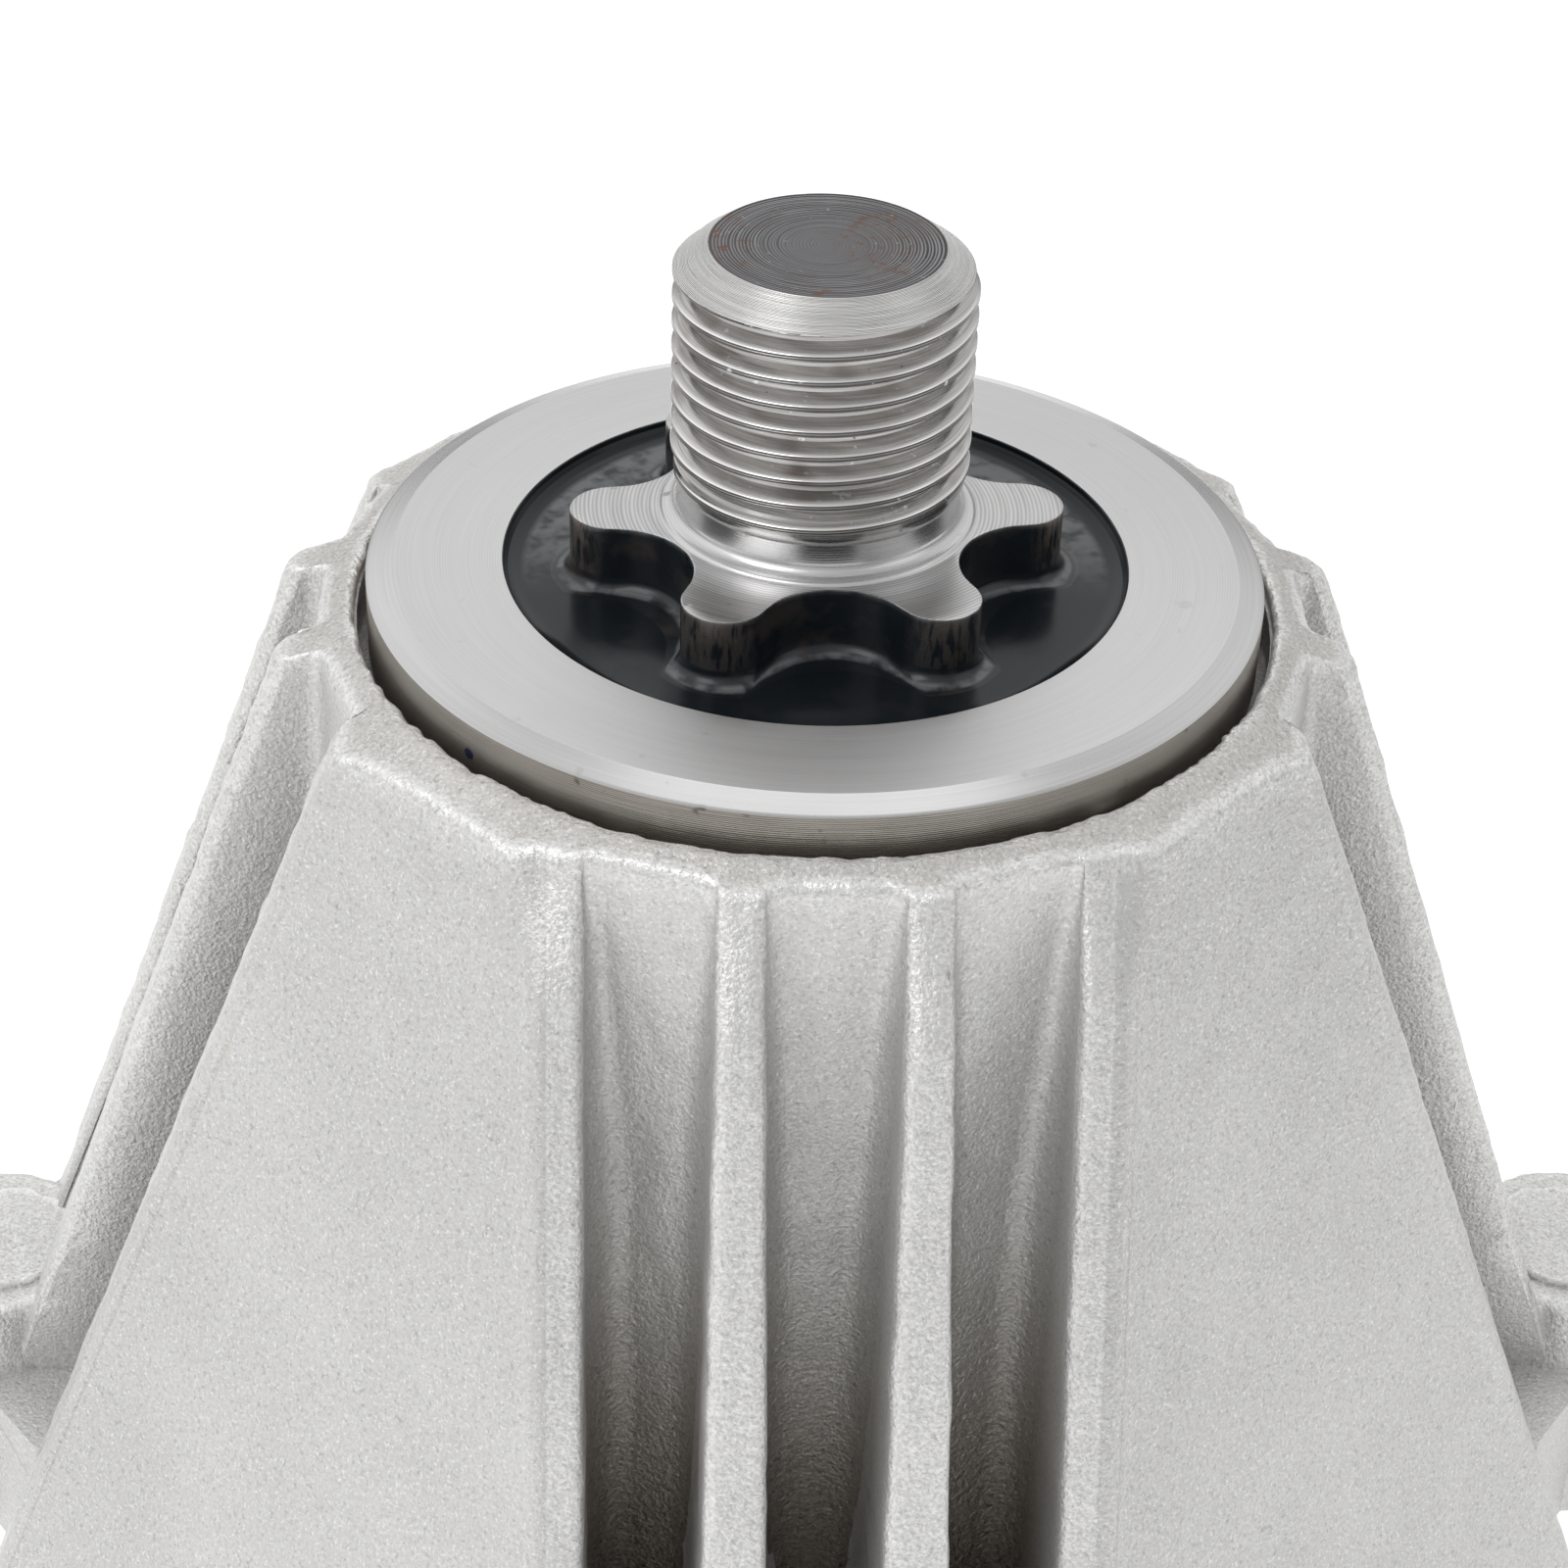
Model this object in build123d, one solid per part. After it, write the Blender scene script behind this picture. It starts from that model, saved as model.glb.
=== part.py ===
# Mower deck spindle: a ribbed die-cast housing with two sealed ball bearings and a forged blade shaft.
# Millimetres. The origin is the centre of the deck mounting face and +Z points to the blade end.
from build123d import *
from math import acos, cos, pi, radians, sin, sqrt, tan
import os

# Levels along the axis
SEAT_Z = 66.0
RIM_Z = 63.68
HUB_Z = -12.0
HUB_EDGE = 1.0

# Shaft, blade end. Heights here are measured up from the blade seat.
THREAD_R = 7.9375
THREAD_TOP = 18.25
TIP_CHAMFER = 1.3
TIP_R = THREAD_R - 1.87
RELIEF_R = THREAD_R - 0.59
RELIEF_LOW = 4.2
RELIEF_HIGH = 6.2
NECK_R = THREAD_R + 0.4
STAR_TOP = 2.95
STAR_POINTS = 6
STAR_TIP_R = 13.25
STAR_TIP_ROUND = 2.25
STAR_WAIST_R = 8.65
STAR_TURN = 2.0
STAR_FOOT = 0.8
DISC_R = 16.86
DISC_DROP = 0.85
FLANGE_R = 24.17
FLANGE_EDGE = 1.4
FLANGE_BEVEL = 0.5
FLANGE_T = 5.0
FLANGE_BACK_EDGE = 0.4
SHOULDER_L = 4.0

# Sealed bearings, the 20 x 47 x 14 size. The insides follow from the bore, the outside and the width.
BORE_R = 10.0
RACE_R = 23.5
RACE_W = 14.0
RACE_EDGE = 0.6
BALL_COUNT = 8
BALL_SHARE = 0.294
BALL_R = BALL_SHARE * (RACE_R - BORE_R)
BALL_CIRCLE_R = (RACE_R + BORE_R) / 2
INNER_LAND_SHARE = 0.69
OUTER_LAND_SHARE = 0.72
INNER_LAND_R = BALL_CIRCLE_R - INNER_LAND_SHARE * BALL_R
OUTER_LAND_R = BALL_CIRCLE_R + OUTER_LAND_SHARE * BALL_R
GROOVE_GAP = 0.06
SEAL_T = 1.0
SEAL_INSET = 0.35
SEAL_LIP_GAP = 0.35
SEAL_SEAT = 0.9
CAGE_T = 0.7
CAGE_HALF = 1.55
CAGE_POCKET_GAP = 0.1
RIVET_R = 0.6
RIVET_HEAD_R = 1.0
RIVET_HEAD_T = 0.35

# Stack on the shaft. The bearing levels are the blade-side face of each bearing.
BLADE_BEARING_Z = SEAT_Z - FLANGE_T - SHOULDER_L
DRIVE_BEARING_Z = HUB_Z + HUB_EDGE + RACE_W
SHOULDER_R = INNER_LAND_R - 1.0
SLINGER_R = RACE_R - 2.0
SLINGER_T = 1.2
SLINGER_STEP = 1.4
PULLEY_SEAT_R = BORE_R - 1.3
PULLEY_SEAT_L = 15.0
PULLEY_TEETH = 24
TOOTH_DEPTH = 0.4
NUT_FLATS = 3.0 * THREAD_R
NUT_H = 12.0
NUT_FLANGE_R = NUT_FLATS / 2 + 3.1
NUT_FLANGE_T = 2.0
WASHER_R = NUT_FLANGE_R - 0.5
WASHER_T = 2.6
WASHER_EDGE = 0.4
DRIVE_THREAD_L = WASHER_T + NUT_H + 6.4
DRIVE_CHAMFER = 1.2

# Retaining ring in the bearing bore
RING_T = 1.75
RING_GROOVE = 1.25
RING_SPRUNG_GAP = 0.05
RING_IN_R = RACE_R - 1.9
RING_GAP_ANGLE = 16.0
RING_LUG_R = 2.3
RING_LUG_AT = RING_IN_R - 0.7
RING_LUG_ANGLE = 14.0
RING_LUG_HOLE_R = 0.9

# Housing outline. Four groups of four ribs. Distances are at the level of the blade seat,
# and each slope is the growth per millimetre towards the deck.
RIB_OUT_AT = 14.9
RIB_OUT_W = 2.75
RIB_IN_AT = 4.57
RIB_IN_HALF = 0.95
RIB_IN_DRAFT = 0.0225
FACE_OUT = 23.64
FACE_OUT_SLOPE = 0.386
FACE_IN = 27.45
FACE_IN_SLOPE = 0.367
CORE_R = 26.8
CORE_SLOPE = 0.022
PANEL_SINK = 1.84
PANEL_ROUND = 4.0
FLUTE_ROUND = 2.05
RIB_ROUND = 0.4
RIM_ROUND = 0.25
FLARE_Z = 52.0
MOUTH_GAP = 0.93
MOUTH_R = FLANGE_R + MOUTH_GAP
MOUTH_DEPTH = FLANGE_T + 1.2
RIM_FLAT_R = MOUTH_R + 0.5
RIM_SLOPE = 0.32
CAVITY_R = OUTER_LAND_R + 1.0
HUB_R = RACE_R + 4.5
EAR_TOP = 12.0
EAR_HALF = 13.2
EAR_OUT = 45.0
BOSS_AT = 49.5
BOSS_R = 6.6
BOSS_FOOT = 1.1
BOSS_TOP = 16.2
PAD_R = 4.3
PAD_H = 0.5
PAD_IN = 0.8
BOLT_HOLE_R = 3.6
BOLT_HOLE_DEPTH = 13.5

# Hollows cast behind the diagonal panels
WALL = 3.6
CORE_TOP = 38.0
CORE_HUB_R = HUB_R - 0.6
CORE_SIDE = 11.2


def turned(points):
    """Solid of revolution about Z from (r, z) points."""
    return revolve(make_face(Plane.XZ * Polyline(*points, close=True)), Axis.Z)


def drum(radius, z0, z1):
    """Plain cylinder between two levels."""
    return Pos(0, 0, z0) * extrude(Circle(radius), z1 - z0)


def tube(r_in, r_out, z0, z1):
    """Plain ring between two levels."""
    return drum(r_out, z0, z1) - drum(r_in, z0, z1)


def spread(shape, count):
    """Copies of a shape turned evenly about Z."""
    return [Rot(0, 0, 360.0 * k / count) * shape for k in range(count)]


def group_corners(z):
    """Corners of one rib group as (outward, across, corner radius), across running from minus to plus."""
    down = SEAT_Z - z
    outer = FACE_OUT + FACE_OUT_SLOPE * down
    inner = FACE_IN + FACE_IN_SLOPE * down
    core = CORE_R + CORE_SLOPE * down
    half = RIB_IN_HALF + RIB_IN_DRAFT * down
    near = RIB_OUT_AT - RIB_OUT_W
    low = RIB_IN_AT - half
    high = RIB_IN_AT + half
    flute = FLUTE_ROUND if z < RIM_Z else RIM_ROUND
    rib = RIB_ROUND if z < RIM_Z else RIM_ROUND
    right = [
        (sqrt(core**2 - low**2), low, flute),
        (inner, low, rib),
        (inner, high, rib),
        (sqrt(core**2 - high**2), high, flute),
        (sqrt(core**2 - near**2), near, flute),
        (outer, near, rib),
        (outer, RIB_OUT_AT, rib),
        (outer - PANEL_SINK, RIB_OUT_AT, PANEL_ROUND),
    ]
    return [(u, -v, r) for u, v, r in reversed(right)] + right


def rounded_outline(corners, z):
    """Closed face at level z through rounded corners given as (x, y, radius)."""
    edges = []
    count = len(corners)
    joints = []
    for i in range(count):
        x, y, r = corners[i]
        here = Vector(x, y, z)
        back = (Vector(corners[i - 1][0], corners[i - 1][1], z) - here).normalized()
        ahead = (Vector(corners[(i + 1) % count][0], corners[(i + 1) % count][1], z) - here).normalized()
        half = acos(back.dot(ahead)) / 2
        reach = r / tan(half)
        middle = here + (back + ahead).normalized() * (r / sin(half) - r)
        joints.append((here + back * reach, middle, here + ahead * reach))
    for i in range(count):
        start, middle, end = joints[i]
        edges.append(Edge.make_three_point_arc(start, middle, end))
        edges.append(Edge.make_line(end, joints[(i + 1) % count][0]))
    return Face(Wire(edges))


def housing_section(z):
    """Outline of the casting at level z, all four groups."""
    corners = []
    for k in range(4):
        c = round(cos(k * pi / 2))
        s = round(sin(k * pi / 2))
        corners += [(u * c - v * s, u * s + v * c, r) for u, v, r in group_corners(z)]
    return rounded_outline(corners, z)


def panel_distance(z):
    """Distance of a wide diagonal panel from the axis at level z."""
    outer = FACE_OUT + FACE_OUT_SLOPE * (SEAT_Z - z)
    return (outer - PANEL_SINK + RIB_OUT_AT) / sqrt(2)


def ear():
    """One mounting ear on +X with its bolt boss, ejector pad and blind bolt hole."""
    foot_r = BOSS_R + BOSS_FOOT
    sheet = make_face(
        Polyline(
            (CAVITY_R + 2, -EAR_HALF),
            (EAR_OUT, -EAR_HALF),
            (BOSS_AT, -foot_r),
            (BOSS_AT, foot_r),
            (EAR_OUT, EAR_HALF),
            (CAVITY_R + 2, EAR_HALF),
            close=True,
        )
    )
    web = extrude(sheet, EAR_TOP)
    boss = turned(
        [
            (0, 0),
            (foot_r, 0),
            (foot_r, EAR_TOP),
            (BOSS_R + BOSS_FOOT / 3, EAR_TOP + BOSS_FOOT),
            (BOSS_R, BOSS_TOP - RIB_ROUND),
            (BOSS_R - RIB_ROUND, BOSS_TOP),
            (0, BOSS_TOP),
        ]
    )
    pad = Pos(BOSS_AT - PAD_IN, 0, BOSS_TOP) * extrude(Circle(PAD_R), PAD_H)
    return web + Pos(BOSS_AT, 0, 0) * boss + pad


def diagonal_core():
    """Hollow behind one wide panel, open towards the deck, in the +X +Y quarter."""
    faces = []
    for z in (0.0, CORE_TOP):
        reach = (panel_distance(z) - WALL) * sqrt(2) - CORE_SIDE
        line = Polyline((CORE_SIDE, CORE_SIDE, z), (reach, CORE_SIDE, z), (CORE_SIDE, reach, z), close=True)
        faces.append(make_face(line))
    return loft(faces, ruled=True) - drum(CORE_HUB_R, -1, CORE_TOP + 1)


def housing():
    """Die-cast housing: ribbed cone, four ears, pilot hub, bearing bores and ring groove."""
    far = BOSS_AT + BOSS_R
    shape = [(0, 0), (far, 0), (far, RIM_Z - RIM_SLOPE * (far - RIM_FLAT_R)), (RIM_FLAT_R, RIM_Z), (0, RIM_Z)]
    low, flare, rim = (housing_section(z) for z in (0.0, FLARE_Z, RIM_Z))
    body = (loft([low, flare], ruled=True) + loft([flare, rim], ruled=True)) & turned(shape)
    for piece in spread(ear(), 4):
        body += piece
    body += turned([(0, 0), (HUB_R, 0), (HUB_R, HUB_Z + HUB_EDGE), (HUB_R - HUB_EDGE, HUB_Z), (0, HUB_Z)])
    for core in spread(diagonal_core(), 4):
        body -= core
    mouth_floor = SEAT_Z - MOUTH_DEPTH
    blade_floor = BLADE_BEARING_Z - RACE_W
    body -= turned(
        [
            (0, RIM_Z + 1),
            (MOUTH_R, RIM_Z + 1),
            (MOUTH_R, mouth_floor),
            (RACE_R, mouth_floor),
            (RACE_R, BLADE_BEARING_Z + RING_T),
            (RACE_R + RING_GROOVE, BLADE_BEARING_Z + RING_T),
            (RACE_R + RING_GROOVE, BLADE_BEARING_Z),
            (RACE_R, BLADE_BEARING_Z),
            (RACE_R, blade_floor),
            (CAVITY_R, blade_floor),
            (CAVITY_R, DRIVE_BEARING_Z),
            (RACE_R, DRIVE_BEARING_Z),
            (RACE_R, HUB_Z - 1),
            (0, HUB_Z - 1),
        ]
    )
    for hole in spread(Pos(BOSS_AT, 0, -1) * extrude(Circle(BOLT_HOLE_R), BOLT_HOLE_DEPTH + 1), 4):
        body -= hole
    return body


def star_outline():
    """Rounded six-point star: convex tips joined by concave arcs tangent to them."""
    tip_at = STAR_TIP_R - STAR_TIP_ROUND
    half = pi / STAR_POINTS
    near = STAR_WAIST_R - STAR_TIP_ROUND
    hollow_at = (tip_at**2 - near**2) / (2 * (tip_at * cos(half) - near))
    hollow_r = hollow_at - STAR_WAIST_R
    edges = []
    for k in range(STAR_POINTS):
        a = radians(STAR_TURN) + 2 * half * k
        tip = Vector(tip_at * cos(a), tip_at * sin(a))
        before = Vector(hollow_at * cos(a - half), hollow_at * sin(a - half))
        after = Vector(hollow_at * cos(a + half), hollow_at * sin(a + half))
        share = STAR_TIP_ROUND / (STAR_TIP_ROUND + hollow_r)
        start = tip + (before - tip) * share
        end = tip + (after - tip) * share
        top = Vector(STAR_TIP_R * cos(a), STAR_TIP_R * sin(a))
        edges.append(Edge.make_three_point_arc(start, top, end))
        b = a + half
        waist = Vector(STAR_WAIST_R * cos(b), STAR_WAIST_R * sin(b))
        next_tip = Vector(tip_at * cos(b + half), tip_at * sin(b + half))
        edges.append(Edge.make_three_point_arc(end, waist, next_tip + (after - next_tip) * share))
    return Face(Wire(edges))


def serrated_seat(z0, z1):
    """Toothed pulley seat between two levels."""
    points = []
    for k in range(2 * PULLEY_TEETH):
        r = PULLEY_SEAT_R - TOOTH_DEPTH * (k % 2)
        points.append((r * cos(pi * k / PULLEY_TEETH), r * sin(pi * k / PULLEY_TEETH)))
    return Pos(0, 0, z0) * extrude(make_face(Polyline(*points, close=True)), z1 - z0)


def stack_levels():
    """Levels of the drive-end stack from the bearing down: slinger, seat end, washer, nut, shaft end."""
    slinger_low = DRIVE_BEARING_Z - RACE_W - SLINGER_STEP - SLINGER_T
    seat_low = slinger_low - PULLEY_SEAT_L
    washer_low = seat_low - WASHER_T
    nut_low = washer_low - NUT_H
    return slinger_low, seat_low, washer_low, nut_low, seat_low - DRIVE_THREAD_L


def spindle_shaft():
    """One forging: threaded blade stud, six-point star, flange, bearing journals, pulley seat, drive thread."""
    s = SEAT_Z
    slinger_low, seat_low, _, _, end = stack_levels()
    body = turned(
        [
            (0, s + THREAD_TOP),
            (TIP_R, s + THREAD_TOP),
            (THREAD_R, s + THREAD_TOP - TIP_CHAMFER),
            (THREAD_R, s + RELIEF_HIGH),
            (RELIEF_R, s + RELIEF_HIGH - (THREAD_R - RELIEF_R)),
            (RELIEF_R, s + RELIEF_LOW),
            (RELIEF_R + (NECK_R - RELIEF_R) / 3, s + (RELIEF_LOW + STAR_TOP) / 2),
            (NECK_R, s + STAR_TOP),
            (NECK_R, s - DISC_DROP),
            (DISC_R, s - DISC_DROP),
            (DISC_R, s),
            (FLANGE_R - FLANGE_EDGE, s),
            (FLANGE_R, s - FLANGE_BEVEL),
            (FLANGE_R, s - FLANGE_T + FLANGE_BACK_EDGE),
            (FLANGE_R - FLANGE_BACK_EDGE, s - FLANGE_T),
            (SHOULDER_R, s - FLANGE_T),
            (SHOULDER_R, BLADE_BEARING_Z),
            (BORE_R, BLADE_BEARING_Z),
            (BORE_R, slinger_low),
            (THREAD_R, slinger_low),
            (THREAD_R, end + DRIVE_CHAMFER),
            (THREAD_R - DRIVE_CHAMFER, end),
            (0, end),
        ]
    )
    star = Pos(0, 0, s - DISC_DROP) * extrude(star_outline(), DISC_DROP + STAR_TOP)
    body += star
    foot = []
    for edge in body.edges():
        middle = edge @ 0.5
        on_disc = abs(middle.Z - (s - DISC_DROP)) < STAR_FOOT / 10
        if on_disc and STAR_WAIST_R - 1 < sqrt(middle.X**2 + middle.Y**2) < STAR_TIP_R + 1:
            foot.append(edge)
    body = fillet(foot, STAR_FOOT)
    return body + serrated_seat(seat_low, slinger_low)


def bearing_race_outer(z):
    """Outer race whose blade-side face is at level z, with ball groove and seal seats."""
    mid = z - RACE_W / 2
    low = z - RACE_W
    seat = SEAL_INSET + SEAL_T
    body = turned(
        [
            (OUTER_LAND_R, mid),
            (OUTER_LAND_R, z - seat),
            (OUTER_LAND_R + SEAL_SEAT, z - seat),
            (OUTER_LAND_R + SEAL_SEAT, z),
            (RACE_R - RACE_EDGE, z),
            (RACE_R, z - RACE_EDGE),
            (RACE_R, low + RACE_EDGE),
            (RACE_R - RACE_EDGE, low),
            (OUTER_LAND_R + SEAL_SEAT, low),
            (OUTER_LAND_R + SEAL_SEAT, low + seat),
            (OUTER_LAND_R, low + seat),
        ]
    )
    return body - Pos(0, 0, mid) * Torus(BALL_CIRCLE_R, BALL_R + GROOVE_GAP)


def bearing_race_inner(z):
    """Inner race whose blade-side face is at level z, with its ball groove."""
    low = z - RACE_W
    body = turned(
        [
            (BORE_R, z - RACE_EDGE),
            (BORE_R + RACE_EDGE, z),
            (INNER_LAND_R, z),
            (INNER_LAND_R, low),
            (BORE_R + RACE_EDGE, low),
            (BORE_R, low + RACE_EDGE),
        ]
    )
    return body - Pos(0, 0, z - RACE_W / 2) * Torus(BALL_CIRCLE_R, BALL_R + GROOVE_GAP)


def bearing_balls(z):
    """Ring of steel balls."""
    ball = Pos(BALL_CIRCLE_R, 0, z - RACE_W / 2) * Sphere(BALL_R)
    return Compound(children=spread(ball, BALL_COUNT))


def bearing_cage_half(z, side):
    """Pressed half cage on one side of the ball plane: flat lands joined by ball cups."""
    shell = BALL_R + CAGE_POCKET_GAP + CAGE_T
    cup = Pos(BALL_CIRCLE_R, 0, 0) * Sphere(shell)
    hollow = Pos(BALL_CIRCLE_R, 0, 0) * Sphere(BALL_R + CAGE_POCKET_GAP)
    body = tube(BALL_CIRCLE_R - CAGE_HALF, BALL_CIRCLE_R + CAGE_HALF, 0, CAGE_T)
    band = tube(BALL_CIRCLE_R - CAGE_HALF, BALL_CIRCLE_R + CAGE_HALF, 0, shell + 1)
    for one in spread(cup & band, BALL_COUNT):
        body += one
    for one in spread(hollow, BALL_COUNT):
        body -= one
    rivet = Pos(BALL_CIRCLE_R, 0, -1) * extrude(Circle(RIVET_R), CAGE_T + 2)
    for one in spread(Rot(0, 0, 180.0 / BALL_COUNT) * rivet, BALL_COUNT):
        body -= one
    if side < 0:
        body = Rot(180, 0, 0) * body
    return Pos(0, 0, z - RACE_W / 2) * body


def bearing_cage_rivets(z):
    """Rivets that hold the two cage halves together."""
    head = CAGE_T + RIVET_HEAD_T
    one = turned(
        [
            (0, head),
            (RIVET_HEAD_R, head),
            (RIVET_HEAD_R, CAGE_T),
            (RIVET_R, CAGE_T),
            (RIVET_R, -CAGE_T),
            (RIVET_HEAD_R, -CAGE_T),
            (RIVET_HEAD_R, -head),
            (0, -head),
        ]
    )
    placed = Rot(0, 0, 180.0 / BALL_COUNT) * Pos(BALL_CIRCLE_R, 0, z - RACE_W / 2) * one
    return Compound(children=spread(placed, BALL_COUNT))


def bearing_seal(z, side):
    """Rubber-covered seal ring on one face of the bearing, side +1 for the blade side."""
    face = z - SEAL_INSET if side > 0 else z - RACE_W + SEAL_INSET + SEAL_T
    lip = INNER_LAND_R + SEAL_LIP_GAP
    rim = OUTER_LAND_R + SEAL_SEAT
    return turned([(lip, face), (rim, face), (rim, face - SEAL_T), (lip, face - SEAL_T)])


def bearing_parts(prefix, z):
    """All named pieces of one bearing."""
    return {
        prefix + "_outer_race": bearing_race_outer(z),
        prefix + "_inner_race": bearing_race_inner(z),
        prefix + "_balls": bearing_balls(z),
        prefix + "_cage_upper": bearing_cage_half(z, 1),
        prefix + "_cage_lower": bearing_cage_half(z, -1),
        prefix + "_cage_rivets": bearing_cage_rivets(z),
        prefix + "_seal_upper": bearing_seal(z, 1),
        prefix + "_seal_lower": bearing_seal(z, -1),
    }


def spacer_tube():
    """Distance tube between the two inner races."""
    return tube(BORE_R, SHOULDER_R, DRIVE_BEARING_Z, BLADE_BEARING_Z - RACE_W)


def retaining_ring():
    """Open internal snap ring with two drilled lugs."""
    z = BLADE_BEARING_Z
    band = tube(RING_IN_R, RACE_R + RING_GROOVE - RING_SPRUNG_GAP, z, z + RING_T)
    reach = 2 * RACE_R
    wedge = make_face(
        Polyline(
            (0, 0),
            (reach, -reach * tan(radians(RING_GAP_ANGLE / 2))),
            (reach, reach * tan(radians(RING_GAP_ANGLE / 2))),
            close=True,
        )
    )
    band -= Pos(0, 0, z - 1) * extrude(wedge, RING_T + 2)
    for side in (-1, 1):
        place = Rot(0, 0, side * RING_LUG_ANGLE) * Pos(RING_LUG_AT, 0, z)
        band += place * extrude(Circle(RING_LUG_R), RING_T)
        band -= place * Pos(0, 0, -1) * extrude(Circle(RING_LUG_HOLE_R), RING_T + 2)
    return band


def slinger():
    """Dust slinger below the drive bearing: clamped hub and thin disc."""
    top = DRIVE_BEARING_Z - RACE_W
    low = top - SLINGER_STEP - SLINGER_T
    return turned(
        [
            (BORE_R, top),
            (INNER_LAND_R, top),
            (INNER_LAND_R, top - SLINGER_STEP),
            (SLINGER_R, top - SLINGER_STEP),
            (SLINGER_R, low),
            (BORE_R, low),
        ]
    )


def drive_washer():
    """Thick washer against the end of the pulley seat."""
    _, top, low, _, _ = stack_levels()
    return turned(
        [
            (THREAD_R, top),
            (WASHER_R - WASHER_EDGE, top),
            (WASHER_R, top - WASHER_EDGE),
            (WASHER_R, low + WASHER_EDGE),
            (WASHER_R - WASHER_EDGE, low),
            (THREAD_R, low),
        ]
    )


def drive_nut():
    """Hexagon nut with a round flange."""
    _, _, top, low, _ = stack_levels()
    hexagon = Pos(0, 0, low) * extrude(RegularPolygon(NUT_FLATS / 2, 6, major_radius=False), NUT_H)
    reach = NUT_FLATS / 2
    trim = turned(
        [
            (0, top),
            (reach * 2, top),
            (reach * 2, low + reach),
            (reach, low),
            (0, low),
        ]
    )
    flange = drum(NUT_FLANGE_R, top - NUT_FLANGE_T, top)
    return (hexagon & trim) + flange - drum(THREAD_R, low - 1, top + 1)


def build_parts():
    """Every named piece in its place."""
    parts = {"housing": housing(), "spindle_shaft": spindle_shaft()}
    parts.update(bearing_parts("blade_bearing", BLADE_BEARING_Z))
    parts.update(bearing_parts("drive_bearing", DRIVE_BEARING_Z))
    parts["spacer_tube"] = spacer_tube()
    parts["retaining_ring"] = retaining_ring()
    parts["slinger"] = slinger()
    parts["drive_washer"] = drive_washer()
    parts["drive_nut"] = drive_nut()
    return parts


if __name__ == "__main__":
    os.makedirs("parts", exist_ok=True)
    for name, shape in build_parts().items():
        export_step(shape, f"parts/{name}.step")
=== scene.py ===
import bmesh
import bpy
import numpy as np
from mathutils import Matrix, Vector


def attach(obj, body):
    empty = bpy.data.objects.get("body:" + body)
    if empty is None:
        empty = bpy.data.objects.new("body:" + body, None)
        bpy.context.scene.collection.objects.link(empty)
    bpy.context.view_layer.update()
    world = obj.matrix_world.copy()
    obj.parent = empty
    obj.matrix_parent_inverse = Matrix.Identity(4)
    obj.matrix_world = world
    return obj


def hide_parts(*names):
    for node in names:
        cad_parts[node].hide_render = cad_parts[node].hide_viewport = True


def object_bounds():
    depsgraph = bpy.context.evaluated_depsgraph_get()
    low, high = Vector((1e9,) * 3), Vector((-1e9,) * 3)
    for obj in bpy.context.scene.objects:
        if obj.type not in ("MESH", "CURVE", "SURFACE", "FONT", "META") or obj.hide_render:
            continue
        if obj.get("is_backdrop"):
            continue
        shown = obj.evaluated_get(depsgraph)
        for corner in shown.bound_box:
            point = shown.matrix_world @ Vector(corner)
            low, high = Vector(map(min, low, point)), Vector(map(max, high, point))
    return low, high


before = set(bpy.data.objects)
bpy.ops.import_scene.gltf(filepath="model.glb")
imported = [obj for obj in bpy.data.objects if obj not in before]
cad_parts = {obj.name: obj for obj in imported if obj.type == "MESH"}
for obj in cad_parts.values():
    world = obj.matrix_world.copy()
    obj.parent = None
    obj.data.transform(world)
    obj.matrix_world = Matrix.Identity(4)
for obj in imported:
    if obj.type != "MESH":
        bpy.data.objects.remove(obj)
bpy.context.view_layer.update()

bl_info = {
    "name": "Mower deck spindle",
    "version": (1, 0, 0),
    "blender": (4, 5, 0),
    "location": "3D View > Sidebar > Spindle",
    "description": "Cast skin, machined shaft and studio for a mower deck spindle",
    "category": "Object",
}

MM = 0.001

# Heights, radii and slopes in millimetres, as the solids have them. The blade seat is at SEAT, and
# the heights that end in TOP or TOP_Z are measured from it.
SEAT = 66.0
RIM = 63.68
FLARE = 52.0
RIM_FLAT = 25.6
RIM_SLOPE = 0.32
MOUTH = 25.1
MOUTH_FLOOR = 59.8
STUD = 7.9375
FLANGE = 24.17
PITCH = 1.4111
THREAD_DEPTH = 0.8
CHAMFER_SLOPE = 1.457
CHAMFER_TOP = 18.22
FACE_TOP = 18.25
EAR = 49.5
PAD_CENTRE = 48.7
STAR_TOP_Z = 2.95
STAR_TURN = np.radians(2.0)

# Rib faces and corners: distance at the blade seat, and its change per millimetre of depth.
OUTER_FACE = (23.64, 0.386)
INNER_FACE = (27.45, 0.367)
CORE_CIRCLE = (26.8, 0.022)
RIB_HALF = (0.96, 0.016)
OUTER_RIB_SIDE = (12.35, -0.003)
FAR_CORNER = (14.52, 0.004)
INNER_RIB = 4.57

# Heights of the outlines that the wall is drawn between, and the outlines already made, by offset.
LEVELS = np.array([0, 20, 36, 42, 47, FLARE, 55, 57, 58.5, 60, 61, 62, 62.8, RIM])
SHEETS = {}

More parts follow.
